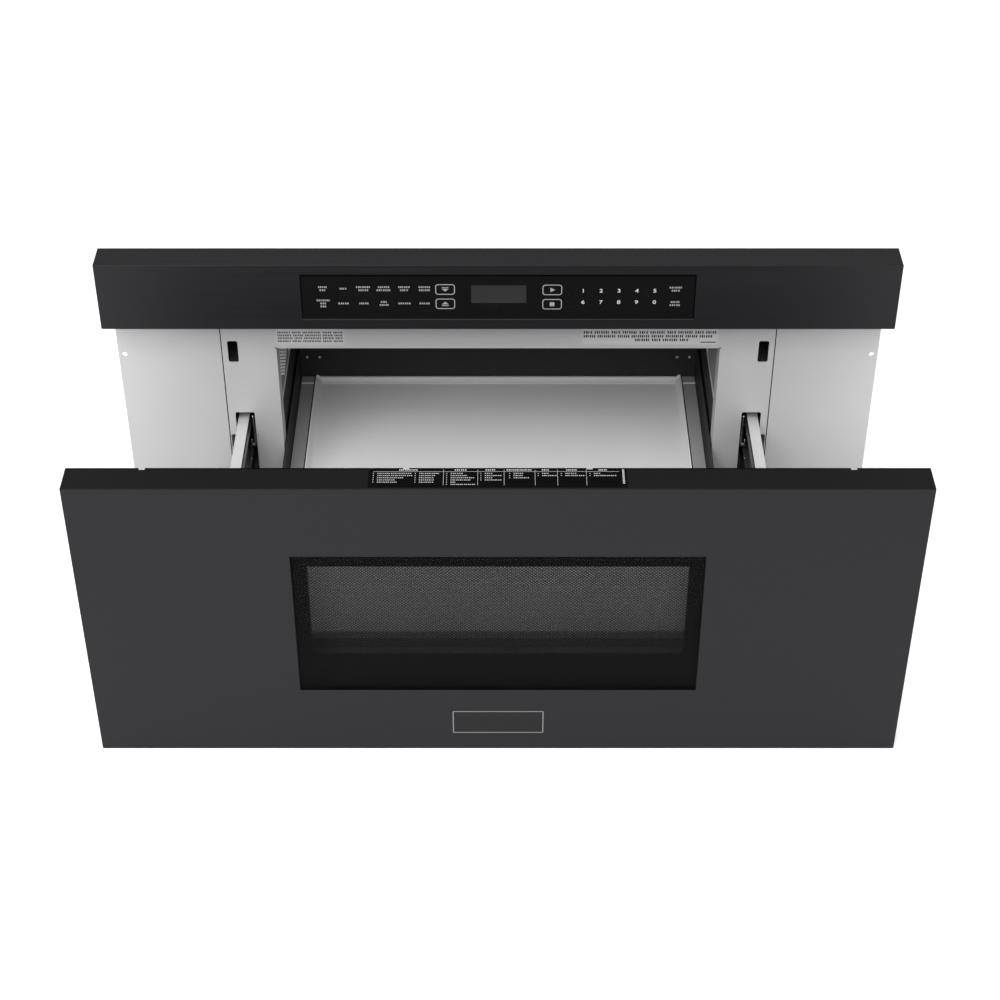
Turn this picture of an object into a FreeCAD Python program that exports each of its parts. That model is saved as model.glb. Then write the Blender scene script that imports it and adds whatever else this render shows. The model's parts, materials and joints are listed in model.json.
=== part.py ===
import FreeCAD, Part
import Sketcher
import math
import os
import re

# A built-in microwave drawer, shown with its drawer part way out.
# Row frame in millimetres: X to the right seen from the front, Y towards the back, Z up.
# The origin is the front middle of the chassis's underside: Z 0 is the cabinet's shelf,
# and Y 0 is the cabinet's face, against which the side wings lie.

SIZES = [
    # the front as a whole
    ("front_w", 759.0, "width of the drawer front and of the control panel"),
    ("panel_hh", 73.7, "height of the control panel"),
    ("panel_d", 29.4, "depth of both fronts"),
    ("drawer_front_hh", 323.8, "height of the drawer front"),
    ("front_gap", 4.5, "gap between drawer front and control panel"),
    ("overlap_below", 12.7, "how far the drawer front reaches below the shelf"),
    ("skin_t", 1.0, "sheet of both front skins"),
    ("over", 1.0, "how far a cut reaches past the piece that it cuts"),
    ("close_gap", 0.5, "gap between the closed drawer front and the front plate"),
    ("drawer_open", 232.2, "how far the drawer stands open"),
    ("travel", 381.0, "full travel of the drawer"),
    # chassis
    ("chassis_w", 544.0, "width of the chassis"),
    ("chassis_hh", 368.0, "height of the chassis"),
    ("chassis_d", 589.0, "depth of the chassis behind the cabinet's face"),
    ("plate_t", 1.0, "sheet of the front plate and the wings"),
    ("base_t", 1.0, "sheet of the base pan"),
    ("cover_t", 0.8, "sheet of the outer cover"),
    ("rear_t", 1.0, "sheet of the rear panel"),
    ("base_lip", 15.0, "height of the base pan's side lips"),
    ("seam", 1.0, "seam between front plate and wing"),
    ("wing_reach", 373.1, "from the middle to the wing's outer edge"),
    ("wing_hh", 350.0, "height of a wing"),
    ("wing_low", 8.0, "height of the wing's lower edge"),
    ("wing_return", 25.0, "depth of the wing's returned flange"),
    ("wing_hole_inset", 6.1, "screw hole to the wing's outer edge"),
    ("wing_hole_r", 2.5, "radius of the wing's screw holes"),
    ("wing_hole_top", 264.7, "height of the upper screw holes"),
    ("wing_hole_pitch", 200.0, "height between the screw holes"),
    # mouth and slots of the front plate
    ("mouth_w", 435.2, "width of the oven mouth"),
    ("mouth_low", 72.0, "height of the mouth's lower edge"),
    ("mouth_top", 272.0, "height of the mouth's upper edge"),
    ("mouth_return", 19.0, "depth of the mouth's returned side flanges"),
    ("latch_x", 260.5, "middle plane of the latch holes"),
    ("latch_w", 10.0, "width of a latch hole"),
    ("latch_low", 255.1, "lower edge of a latch hole"),
    ("latch_hh", 25.5, "height of a latch hole"),
    ("slot_in", 244.7, "inner edge of a slide slot"),
    ("slot_out", 264.1, "outer edge of a slide slot"),
    ("slot_step_out", 270.3, "outer edge of the slide slot below its step"),
    ("slot_top", 192.6, "upper edge of a slide slot"),
    ("slot_step", 164.4, "height of the slide slot's step"),
    ("slot_low", 46.0, "lower edge of a slide slot"),
    ("hole_round", 2.0, "radius of the corners of the latch holes and slide slots"),
    ("relief_r", 1.4, "radius of the bend reliefs at the mouth's corners"),
    # cavity
    ("cavity_t", 0.8, "sheet of the cavity"),
    ("cavity_play", 1.0, "cavity wall outside the mouth's edge"),
    ("cavity_rise", 3.0, "cavity ceiling above the mouth's edge"),
    ("cavity_drop", 1.0, "cavity floor below the mouth's edge"),
    ("cavity_d", 414.0, "depth of the cavity"),
    ("feed_y", 215.0, "middle of the microwave feed"),
    ("feed_r", 40.0, "radius of the feed hole"),
    ("stirrer_cover_w", 110.0, "width of the stirrer cover"),
    ("stirrer_cover_t", 1.6, "thickness of the stirrer cover"),
    ("vent_plate_t", 0.8, "sheet of the vent plates"),
    ("vent_plate_low", 195.0, "lower edge of the vent plates"),
    ("vent_plate_d", 90.0, "depth of the vent plates"),
    ("louvre_hh", 2.6, "height of a louvre slot"),
    ("louvre_pitch", 7.0, "pitch of the louvre slots"),
    ("louvre_d", 44.0, "depth of a louvre slot"),
    ("louvre_inset", 14.0, "louvre slots from the vent plate's front edge"),
    ("louvre_rise", 14.0, "lowest louvre slot above the vent plate's edge"),
    # drawer front inside
    ("window_w", 370.0, "width of the window"),
    ("window_low", 65.8, "height of the window's lower edge"),
    ("window_hh", 167.0, "height of the window"),
    ("glass_t", 3.0, "thickness of the window glass and the touch glass"),
    ("glass_lap", 5.0, "how far a glass reaches behind its skin"),
    ("screen_w", 347.0, "width of the perforated screen's opening"),
    ("screen_low", 103.0, "height of the perforated screen's lower edge"),
    ("screen_hh", 119.0, "height of the perforated screen's opening"),
    ("screen_t", 0.6, "sheet of the perforated screen"),
    ("screen_lap", 7.0, "how far the screen reaches past its opening"),
    ("frame_t", 2.0, "sheet of the drawer front's inner frame"),
    ("tunnel_t", 1.5, "sheet of the window tunnel"),
    ("inner_glass_t", 2.0, "thickness of the inner window"),
    ("choke_t", 4.0, "thickness of the choke cover"),
    ("choke_play", 3.6, "choke cover inside the mouth"),
    ("notch_w", 5.5, "width of a notch in the top flange"),
    ("notch_d", 2.3, "depth of a notch in the top flange"),
    ("notch_near", 80.3, "inner notches from the middle"),
    ("notch_far", 312.0, "outer notches from the middle"),
    ("badge_w", 86.0, "width of the badge"),
    ("badge_hh", 29.3, "height of the badge"),
    ("badge_low", 9.4, "height of the badge's lower edge"),
    ("badge_t", 0.6, "thickness of the badge"),
    ("badge_rim", 0.9, "width of the badge's raised outline"),
    # drawer box
    ("box_play", 0.8, "drawer box inside the mouth on each side"),
    ("box_t", 0.8, "sheet of the drawer box"),
    ("box_side_top", 148.3, "upper edge of the drawer's side walls"),
    ("box_rear_top", 200.0, "upper edge of the drawer's rear wall"),
    ("box_inner_d", 407.7, "closed position of the drawer's rear wall"),
    ("ledge_z", 105.0, "height of the ledge round the tray"),
    ("ledge_edge", 202.0, "from the middle to the ledge's inner edge"),
    ("well_z", 96.0, "height of the floor that carries the tray"),
    ("tray_half_w", 201.0, "from the middle to the tray's rim"),
    ("tray_floor_half_w", 197.0, "from the middle to the tray's floor edge"),
    ("tray_rim_w", 2.0, "width of the tray's rim"),
    ("tray_hh", 11.0, "height of the tray"),
    ("tray_floor_t", 5.0, "thickness of the tray's floor"),
    ("tray_front", 6.0, "closed position of the tray's front edge"),
    ("tray_play", 0.4, "gap between tray and rear wall"),
    # slides and racks
    ("rail_d", 392.0, "length of the slide members"),
    ("rail_start", 4.0, "closed position of the slide members' front ends"),
    ("bracket_out", 262.0, "outer face of a rail bracket"),
    ("bracket_w", 10.5, "width of a rail bracket's top flange"),
    ("bracket_t", 1.2, "sheet of a rail bracket"),
    ("bracket_top", 182.0, "upper face of a rail bracket"),
    ("rail_hh", 43.0, "height of a drawer member"),
    ("rail_t", 1.3, "sheet of the slide members"),
    ("rail_w", 8.0, "width of a drawer member"),
    ("middle_hh", 36.0, "height of a middle member"),
    ("middle_web_x", 254.6, "inner face of the middle member's web"),
    ("middle_out", 3.6, "middle member's flanges outside its web"),
    ("middle_in", 5.2, "middle member's flanges inside its web"),
    ("fixed_hh", 28.0, "height of a fixed member"),
    ("fixed_in", 247.0, "inner face of a fixed member"),
    ("fixed_w", 5.8, "width of a fixed member"),
    ("ball_play", 0.3, "gap between a ball and the member that runs over it"),
    ("ball_pitch", 28.0, "pitch of the balls"),
    ("support_hh", 20.0, "height of a slide support"),
    ("support_d", 40.0, "length of a slide support"),
    ("support_inset", 22.0, "slide support from the fixed member's end"),
    # drive
    ("tooth_module", 2.0, "module of the racks and pinions"),
    ("pinion_teeth", 18, "teeth of a pinion"),
    ("pinion_w", 7.0, "width of a pinion and of a rack"),
    ("rack_gap", 0.2, "rack to the rail bracket"),
    ("rack_body", 8.0, "rack above its roots"),
    ("rack_tail", 34.0, "reach of the racks and brackets behind the slides"),
    ("shaft_y", 34.0, "cross shaft behind the cabinet's face"),
    ("shaft_z", 38.0, "height of the cross shaft"),
    ("shaft_r", 5.0, "radius of the cross shaft"),
    ("run_play", 0.05, "radial play of a shaft in its bearing"),
    ("bearing_x", 232.0, "inner face of a bearing bracket"),
    ("bearing_w", 6.0, "width of a bearing"),
    ("bearing_d", 26.0, "depth of a bearing bracket"),
    ("bearing_foot", 16.0, "length of a bearing bracket's foot"),
    ("bearing_t", 2.0, "sheet of a bearing bracket"),
    ("wheel_module", 1.5, "module of the drive wheel and the motor gear"),
    ("wheel_teeth", 32, "teeth of the drive wheel"),
    ("motor_teeth", 14, "teeth of the motor gear"),
    ("wheel_x", 60.0, "left face of the drive wheel"),
    ("wheel_w", 8.0, "width of the drive wheel"),
    ("motor_shaft_r", 3.0, "radius of the drive motor's shaft"),
    ("motor_mount_t", 2.0, "sheet of the drive motor's bracket"),
    ("gearbox_w", 26.0, "width of the drive gearbox"),
    ("gearbox_d", 54.0, "depth of the drive gearbox"),
    ("gearbox_hh", 44.0, "height of the drive gearbox"),
    ("motor_can_r", 16.0, "radius of the drive motor"),
    ("motor_can_w", 48.0, "length of the drive motor"),
    ("face_play", 0.5, "gap between a gear's face and what is beside it"),
    # latches
    ("hook_w", 6.0, "thickness of a latch hook"),
    ("hook_hh", 16.0, "height of a latch hook's arm"),
    ("hook_d", 30.0, "reach of a latch hook behind the drawer front"),
    ("hook_nose", 3.5, "height of a latch hook's nose"),
    ("hook_nose_d", 7.5, "length of a latch hook's nose"),
    ("switch_wall", 3.0, "wall of an interlock housing"),
    ("switch_d", 48.0, "depth of an interlock housing"),
    ("switch_half_w", 9.3, "half width of an interlock housing"),
    ("lever_t", 1.5, "thickness of an interlock lever"),
    ("lever_w", 8.0, "width of an interlock lever"),
    ("lever_drop", 20.0, "length of an interlock lever below its pin"),
    ("lever_pin_r", 1.5, "radius of an interlock lever's pin"),
    ("hook_play", 0.3, "gap between a closed latch hook and its lever"),
    ("lever_eye_r", 3.0, "radius of an interlock lever's eye"),
    # control panel inside
    ("touch_w", 373.0, "width of the touch glass's opening"),
    ("touch_low", 12.0, "touch glass's opening above the panel's lower edge"),
    ("touch_hh", 50.6, "height of the touch glass's opening"),
    ("board_t", 1.6, "thickness of a circuit board"),
    ("display_w", 52.0, "width of the display"),
    ("display_hh", 20.0, "height of the display"),
    ("display_d", 5.0, "depth of the display"),
    ("display_rise", 18.1, "display above the touch opening's lower edge"),
    ("panel_frame_t", 2.0, "wall of the panel's carrier frame"),
    # microwave generator
    ("guide_w", 90.0, "width of the waveguide"),
    ("guide_hh", 36.0, "height of the waveguide"),
    ("guide_t", 0.8, "sheet of the waveguide"),
    ("guide_front", 168.0, "front end of the waveguide"),
    ("guide_end", 44.0, "waveguide's rear end behind the antenna"),
    ("magnetron_gap", 15.2, "magnetron behind the cavity's back"),
    ("magnetron_w", 84.0, "width of the magnetron"),
    ("magnetron_d", 76.0, "depth of the magnetron"),
    ("magnetron_hh", 74.0, "height of the magnetron's cooling block"),
    ("fin_t", 0.6, "thickness of a cooling fin"),
    ("fin_count", 9, "number of cooling fins"),
    ("filter_hh", 34.0, "height of the magnetron's filter box"),
    ("yoke_t", 2.4, "sheet of the magnetron's yoke"),
    ("anode_r", 19.0, "radius of the magnetron's anode"),
    ("antenna_r", 8.0, "radius of the magnetron's antenna"),
    ("antenna_play", 2.0, "antenna's tip inside its hole in the waveguide"),
    ("antenna_hh", 26.0, "reach of the antenna into the waveguide"),
    ("stirrer_r", 34.0, "radius of the stirrer blade"),
    ("stirrer_z_rise", 12.0, "stirrer blade above the cavity ceiling"),
    ("stirrer_t", 1.0, "sheet of the stirrer blade"),
    ("stirrer_vane_w", 22.0, "width of a stirrer vane"),
    ("stirrer_shaft_r", 3.0, "radius of the stirrer's shaft"),
    ("stirrer_play", 1.0, "stirrer's shaft inside its hole in the waveguide"),
    ("stirrer_motor_r", 24.0, "radius of the stirrer motor"),
    ("stirrer_motor_hh", 18.0, "height of the stirrer motor"),
    ("cutout_r", 8.0, "radius of the thermal cut-out"),
    ("cutout_hh", 7.0, "height of the thermal cut-out"),
    # high voltage parts
    ("transformer_x", -246.0, "left side of the transformer"),
    ("hv_gap", 21.2, "transformer's windings behind the cavity's back"),
    ("transformer_w", 96.0, "width of the transformer's core"),
    ("transformer_d", 84.0, "depth of the transformer's core"),
    ("transformer_hh", 76.0, "height of the transformer's core"),
    ("coil_reach", 16.0, "reach of the transformer's windings past its core"),
    ("coil_w", 58.0, "width of the transformer's windings"),
    ("coil_hh", 46.0, "height of the transformer's windings"),
    ("capacitor_x", -96.0, "left side of the capacitor"),
    ("capacitor_w", 54.0, "width of the capacitor"),
    ("capacitor_d", 34.0, "depth of the capacitor"),
    ("capacitor_hh", 96.0, "height of the capacitor"),
    ("terminal_r", 3.0, "radius of a capacitor terminal"),
    ("terminal_hh", 10.0, "height of a capacitor terminal"),
    # cooling
    ("fan_x", 150.0, "fan's axis from the middle"),
    ("fan_z", 150.0, "height of the fan's axis"),
    ("fan_r", 58.0, "radius of the fan blade"),
    ("fan_ring_play", 4.0, "fan blade's tip to its housing"),
    ("fan_ring_t", 3.0, "wall of the fan's ring"),
    ("fan_housing_d", 34.0, "depth of the fan housing"),
    ("fan_plate_t", 2.0, "thickness of the fan housing's plate"),
    ("fan_blade_d", 20.0, "depth of the fan's blades"),
    ("fan_blade_t", 1.5, "thickness of a fan blade"),
    ("fan_blades", 7, "number of fan blades"),
    ("fan_hub_r", 16.0, "radius of the fan's hub"),
    ("fan_shaft_r", 3.0, "radius of the fan motor's shaft"),
    ("fan_motor_r", 28.0, "radius of the fan motor"),
    ("fan_motor_d", 34.0, "depth of the fan motor"),
    ("fan_arm_w", 12.0, "width of the fan motor's arms"),
    ("fan_gap", 4.0, "gap in front of and behind the fan blade"),
    ("duct_t", 1.5, "wall of the air duct"),
    ("duct_top_drop", 4.0, "air duct below the waveguide"),
    ("grille_hh", 4.0, "height of a rear grille slot"),
    ("grille_pitch", 10.0, "pitch of the rear grille slots"),
    ("grille_w", 96.0, "width of a rear grille slot"),
    ("grille_rows", 10, "number of rear grille slots"),
    ("outlet_x", -170.0, "middle of the air outlet grille"),
    # electronics
    ("power_board_w", 150.0, "width of the power board"),
    ("power_board_d", 170.0, "depth of the power board"),
    ("power_board_x", 90.0, "left side of the power board"),
    ("power_board_y", 60.0, "front of the power board"),
    ("standoff_hh", 8.0, "height of the boards' standoffs"),
    ("standoff_r", 4.0, "radius of the boards' standoffs"),
    ("noise_board_w", 80.0, "width of the noise filter board"),
    ("noise_board_d", 60.0, "depth of the noise filter board"),
    ("lamp_x", -95.0, "oven lamp from the middle"),
    ("lamp_inset", 72.0, "oven lamp in front of the cavity's back"),
    ("lamp_w", 46.0, "width of the lamp housing"),
    ("lamp_hh", 34.0, "height of the lamp housing"),
    ("lamp_hole_r", 13.0, "radius of the lamp's window in the ceiling"),
    ("bulb_r", 9.0, "radius of the bulb with its socket"),
    ("bulb_hh", 22.0, "height of the bulb with its socket"),
    ("sensor_x", -140.0, "steam sensor from the middle"),
    ("sensor_w", 30.0, "width of the steam sensor"),
    ("sensor_hh", 12.0, "height of the steam sensor"),
    ("sensor_r", 10.0, "radius of the steam sensor's can"),
    # supply inlet and screws
    ("inlet_x", -226.0, "supply inlet from the middle"),
    ("inlet_drop", 38.0, "supply inlet below the chassis's top"),
    ("inlet_r", 5.0, "bore of the supply inlet"),
    ("inlet_body_r", 10.0, "radius of the inlet bush in the rear panel"),
    ("inlet_flange_r", 14.0, "radius of the inlet bush's flanges"),
    ("inlet_flange_t", 3.0, "thickness of the inlet bush's flanges"),
    ("screw_r", 1.9, "radius of a sheet screw"),
    ("screw_hole_play", 0.3, "radial play of a sheet screw in its hole"),
    ("screw_head_r", 4.2, "radius of a sheet screw's head"),
    ("screw_head_hh", 2.2, "height of a sheet screw's head"),
    ("screw_shank", 7.0, "length of a sheet screw's shank"),
    ("screw_inset", 12.0, "rear screws from the rear panel's edges"),
]

PRESSURE_ANGLE = math.radians(20)
ADDENDUM = 0.8
DEDENDUM = 1.1
BACKLASH = 0.25
ROOT_STEP = 0.05
END_MARGIN = 0.6
FAN_PITCH = 35
SAME_PLACE = 1e-6

doc = FreeCAD.newDocument("MicrowaveDrawer")
sheet = doc.addObject("Spreadsheet::Sheet", "Sizes")
NAMES = set()
for row, (alias, size, meaning) in enumerate(SIZES, start=1):
    sheet.set("A%d" % row, alias)
    sheet.set("B%d" % row, str(size))
    sheet.set("C%d" % row, meaning)
    sheet.setAlias("B%d" % row, alias)
    NAMES.add(alias)
doc.recompute()

NODES = []
SIDES = (("left", -1), ("right", 1))


# ---------------------------------------------------------------- helpers

def bound(text):
    """An expression on the sheet, from text that uses the sizes' bare names."""
    def on_sheet(word):
        return "Sizes." + word.group() if word.group() in NAMES else word.group()

    return re.sub(r"[a-z_]+", on_sheet, str(text))


def number(text):
    """The present value of such a text."""
    result = sheet.evalExpression(bound(text))
    return float(getattr(result, "Value", result))


def bind(thing, **properties):
    """Binds properties of an object to texts on the sizes."""
    for name, text in properties.items():
        thing.setExpression(name, bound(text))


def place(thing, x="0", y="0", z="0"):
    """Binds an object's place."""
    bind(thing, **{"Placement.Base.x": x, "Placement.Base.y": y, "Placement.Base.z": z})
    return thing


def node(thing, name):
    """Makes an object a sub-part under its own label."""
    thing.Label = name
    NODES.append(thing)
    return thing


def box(low, size):
    """A box from its low corner and its three sizes."""
    solid = doc.addObject("Part::Box", "Block")
    bind(solid, Length=size[0], Width=size[1], Height=size[2])
    return place(solid, *low)


def span_box(x, y, z):
    """A box from three pairs of low and high faces."""
    pairs = (x, y, z)
    return box([p[0] for p in pairs], ["(%s) - (%s)" % (p[1], p[0]) for p in pairs])


def side_pair(side, inner, outer):
    """A pair of faces along X, given by distances from the middle, on one side."""
    if side > 0:
        return (inner, outer)
    return ("-(%s)" % outer, "-(%s)" % inner)


def cylinder(centre, radius, length, axis="Z"):
    """A cylinder that starts at centre and runs along an axis."""
    turns = {
        "X": FreeCAD.Rotation(FreeCAD.Vector(0, 1, 0), 90),
        "Y": FreeCAD.Rotation(FreeCAD.Vector(1, 0, 0), -90),
        "Z": FreeCAD.Rotation(),
    }
    solid = doc.addObject("Part::Cylinder", "Round")
    solid.Placement = FreeCAD.Placement(FreeCAD.Vector(), turns[axis])
    bind(solid, Radius=radius, Height=length)
    return place(solid, *centre)


def join(*solids):
    """One object of several solids."""
    if len(solids) == 1:
        return solids[0]
    fused = doc.addObject("Part::MultiFuse", "Joined")
    fused.Shapes = list(solids)
    return fused


def cut(base, *tools):
    """A solid without its tools."""
    result = doc.addObject("Part::Cut", "Trimmed")
    result.Base = base
    result.Tool = join(*tools)
    return result


def plane_of(body, role):
    """One of a body's own origin planes."""
    return [feature for feature in body.Origin.OriginFeatures if feature.Role == role][0]


def draw_polygon(sketch, corners):
    """A closed outline whose corners are bound to the sizes."""
    first = sketch.GeometryCount
    count = len(corners)
    points = [FreeCAD.Vector(number(u), number(v), 0) for u, v in corners]
    for i in range(count):
        sketch.addGeometry(Part.LineSegment(points[i], points[(i + 1) % count]), False)
    for i in range(count):
        sketch.addConstraint(Sketcher.Constraint("Coincident", first + i, 2, first + (i + 1) % count, 1))
    for i, (u, v) in enumerate(corners):
        for kind, text, value in (("DistanceX", u, points[i].x), ("DistanceY", v, points[i].y)):
            index = sketch.addConstraint(Sketcher.Constraint(kind, -1, 1, first + i, 1, value))
            sketch.setExpression("Constraints[%d]" % index, bound(text))


def draw_circle(sketch, centre, radius):
    """A circle whose centre and radius are bound to the sizes."""
    u, v = (number(text) for text in centre)
    circle = Part.Circle(FreeCAD.Vector(u, v, 0), FreeCAD.Vector(0, 0, 1), number(radius))
    index = sketch.addGeometry(circle, False)
    for kind, text, value in (("DistanceX", centre[0], u), ("DistanceY", centre[1], v)):
        constraint = sketch.addConstraint(Sketcher.Constraint(kind, -1, 1, index, 3, value))
        sketch.setExpression("Constraints[%d]" % constraint, bound(text))
    constraint = sketch.addConstraint(Sketcher.Constraint("Radius", index, number(radius)))
    sketch.setExpression("Constraints[%d]" % constraint, bound(radius))


def oblong(u, v):
    """The corners of an upright rectangle from its two pairs of edges."""
    return [(u[0], v[0]), (u[1], v[0]), (u[1], v[1]), (u[0], v[1])]


def profile(plane, outline, depth, polygons=(), circles=()):
    """A body: an outline with holes on an origin plane, padded by a depth.

    On XY_Plane it grows up, on YZ_Plane to the right, and on XZ_Plane towards the front.
    """
    body = doc.addObject("PartDesign::Body", "Body")
    sketch = body.newObject("Sketcher::SketchObject", "Outline")
    sketch.AttachmentSupport = [(plane_of(body, plane), "")]
    sketch.MapMode = "FlatFace"
    draw_polygon(sketch, outline)
    for corners in polygons:
        draw_polygon(sketch, corners)
    for centre, radius in circles:
        draw_circle(sketch, centre, radius)
    pad = body.newObject("PartDesign::Pad", "Pad")
    pad.Profile = sketch
    bind(pad, Length=depth)
    return body


def slot_rows(body, plane, first, depth, pitch, count, axis):
    """Pockets one slot through a body and repeats it along a sketch axis."""
    doc.recompute()
    sketch = body.newObject("Sketcher::SketchObject", "Slot")
    sketch.AttachmentSupport = [(plane_of(body, plane), "")]
    sketch.MapMode = "FlatFace"
    draw_polygon(sketch, first)
    pocket = body.newObject("PartDesign::Pocket", "SlotCut")
    pocket.Profile = sketch
    pocket.Midplane = True
    bind(pocket, Length=depth)
    doc.recompute()
    rows = body.newObject("PartDesign::LinearPattern", "SlotRows")
    rows.Originals = [pocket]
    rows.Direction = (sketch, [axis])
    bind(rows, Length="(%s) * (%s - 1)" % (pitch, count), Occurrences=count)
    body.Tip = rows
    return body


def round_corners(body, spots, radius):
    """Rounds the edges along Y that stand at some corners of a body's outline."""
    doc.recompute()
    sharp = body.Tip
    corners = [FreeCAD.Vector(number(u), 0, number(v)) for u, v in spots]
    chosen = []
    for index, edge in enumerate(sharp.Shape.Edges, start=1):
        ends = [FreeCAD.Vector(vertex.X, 0, vertex.Z) for vertex in edge.Vertexes]
        if any(all(end.isEqual(corner, SAME_PLACE) for end in ends) for corner in corners):
            chosen.append("Edge%d" % index)
    fillet = body.newObject("PartDesign::Fillet", "RoundCorners")
    fillet.Base = (sharp, chosen)
    bind(fillet, Radius=radius)
    body.Tip = fillet
    return body


def taper(low_x, low_y, high_x, high_y, z):
    """A block whose upper face differs from its lower face: pairs of edges at both heights."""
    solid = doc.addObject("Part::Wedge", "Taper")
    solid.Placement = FreeCAD.Placement(FreeCAD.Vector(), FreeCAD.Rotation(FreeCAD.Vector(1, 0, 0), 90))
    bind(solid, Xmin=low_x[0], Xmax=low_x[1], Zmin="-(%s)" % low_y[1], Zmax="-(%s)" % low_y[0])
    bind(solid, X2min=high_x[0], X2max=high_x[1], Z2min="-(%s)" % high_y[1], Z2max="-(%s)" % high_y[0])
    bind(solid, Ymin=z[0], Ymax=z[1])
    return solid


# ---------------------------------------------------------------- places that several parts share

HALF_FRONT = "front_w / 2"
HALF_CHASSIS = "chassis_w / 2"
HALF_MOUTH = "mouth_w / 2"
PLATE_FACE = "-plate_t"
PANEL_FRONT = "-(plate_t + panel_d)"
PANEL_LOW = "drawer_front_hh - overlap_below + front_gap"
PANEL_TOP = PANEL_LOW + " + panel_hh"
FRONT_LOW = "-overlap_below"
FRONT_TOP = "drawer_front_hh - overlap_below"
DOOR_FRONT = "-(plate_t + panel_d + drawer_open)"
DOOR_BACK = "-(plate_t + close_gap + drawer_open)"
GLASS_BACK = DOOR_FRONT + " + skin_t + glass_t"
FRAME_FACE = DOOR_BACK + " - frame_t"
COVER_LOW = "base_t"
COVER_TOP = "chassis_hh - cover_t"
PLATE_HALF = HALF_CHASSIS + " - seam"
CAVITY_HALF = HALF_MOUTH + " + cavity_play"
CAVITY_FLOOR = "mouth_low - cavity_drop"
CAVITY_CEILING = "mouth_top + cavity_rise"
CAVITY_ROOF = CAVITY_CEILING + " + cavity_t"
BOX_HALF = HALF_MOUTH + " - box_play"
BOX_REAR = "box_inner_d - drawer_open"
BRACKET_IN = "bracket_out - bracket_w"
WEB_IN = "bracket_out - bracket_t"
RAIL_TOP = "bracket_top - bracket_t"
RAIL_LOW = RAIL_TOP + " - rail_hh"
RAIL_MID = RAIL_TOP + " - rail_hh / 2"
RAIL_IN = WEB_IN + " - rail_w"
PINION_R = "tooth_module * pinion_teeth / 2"
WHEEL_R = "wheel_module * wheel_teeth / 2"
MOTOR_GEAR_R = "wheel_module * motor_teeth / 2"
MOTOR_Y = "shaft_y + %s + %s" % (WHEEL_R, MOTOR_GEAR_R)
PITCH_LINE = "shaft_z + " + PINION_R
PINION_OUT = WEB_IN + " - rack_gap"
PINION_IN = PINION_OUT + " - pinion_w"
REAR_FACE = "chassis_d - rear_t"
GUIDE_TOP = CAVITY_ROOF + " + guide_hh"
CAVITY_BACK = "cavity_d + cavity_t"
MAGNETRON_Y = CAVITY_BACK + " + magnetron_gap + magnetron_d / 2"
GUIDE_BACK = MAGNETRON_Y + " + guide_end"
TRANSFORMER_Y = CAVITY_BACK + " + hv_gap + coil_reach"
LAMP_Y = "cavity_d - lamp_inset"
INLET_Z = "chassis_hh - inlet_drop"


def window_pairs(grow="0"):
    """The window's edges along X and Z, grown by a margin."""
    wide = ("-(window_w / 2 + %s)" % grow, "window_w / 2 + %s" % grow)
    high = ("window_low - (%s)" % grow, "window_low + window_hh + %s" % grow)
    return wide, high


def screen_pairs(grow="0"):
    """The perforated screen's edges along X and Z, grown by a margin."""
    wide = ("-(screen_w / 2 + %s)" % grow, "screen_w / 2 + %s" % grow)
    high = ("screen_low - (%s)" % grow, "screen_low + screen_hh + %s" % grow)
    return wide, high


def touch_pairs(grow="0"):
    """The touch glass's edges along X and Z, grown by a margin."""
    low = "%s + touch_low" % PANEL_LOW
    wide = ("-(touch_w / 2 + %s)" % grow, "touch_w / 2 + %s" % grow)
    return wide, ("%s - (%s)" % (low, grow), "%s + touch_hh + %s" % (low, grow))


def rear_screw_places():
    """Where the rear panel's screws are, as pairs of X and Z."""
    across = HALF_CHASSIS + " - screw_inset"
    heights = ("base_t + screw_inset", "chassis_hh / 2", "chassis_hh - screw_inset")
    corners = [("%s(%s)" % (sign, across), z) for sign in ("-", "") for z in heights]
    return corners + [("0", heights[0]), ("0", heights[2])]


# ---------------------------------------------------------------- gears

def involute(angle):
    return math.tan(angle) - angle


def gear_face(teeth, module):
    """The outline of a spur gear about the origin, one tooth pointing along the first axis."""
    pitch_r = module * teeth / 2
    base_r = pitch_r * math.cos(PRESSURE_ANGLE)
    tip_r = pitch_r + ADDENDUM * module
    root_r = pitch_r - DEDENDUM * module
    half_tooth = math.pi / (2 * teeth) - BACKLASH / (2 * pitch_r)

    def flank(radius):
        start = max(radius, base_r)
        return half_tooth + involute(PRESSURE_ANGLE) - involute(math.acos(base_r / start))

    def point(radius, angle):
        return FreeCAD.Vector(radius * math.cos(angle), radius * math.sin(angle), 0)

    low_r = max(base_r, root_r + ROOT_STEP * module)
    mid_r = (low_r + tip_r) / 2
    edges = []
    for tooth in range(teeth):
        middle = 2 * math.pi * tooth / teeth
        after = middle + 2 * math.pi / teeth
        rising = [point(r, middle - flank(r)) for r in (low_r, mid_r, tip_r)]
        falling = [point(r, middle + flank(r)) for r in (tip_r, mid_r, low_r)]
        root_start = point(root_r, middle + flank(low_r))
        root_end = point(root_r, after - flank(low_r))
        edges.append(Part.LineSegment(point(root_r, middle - flank(low_r)), rising[0]))
        edges.append(Part.Arc(*rising))
        edges.append(Part.Arc(rising[2], point(tip_r, middle), falling[0]))
        edges.append(Part.Arc(*falling))
        edges.append(Part.LineSegment(falling[2], root_start))
        edges.append(Part.Arc(root_start, point(root_r, (middle + after) / 2), root_end))
    return Part.Face(Part.Wire([edge.toShape() for edge in edges]))


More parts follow.
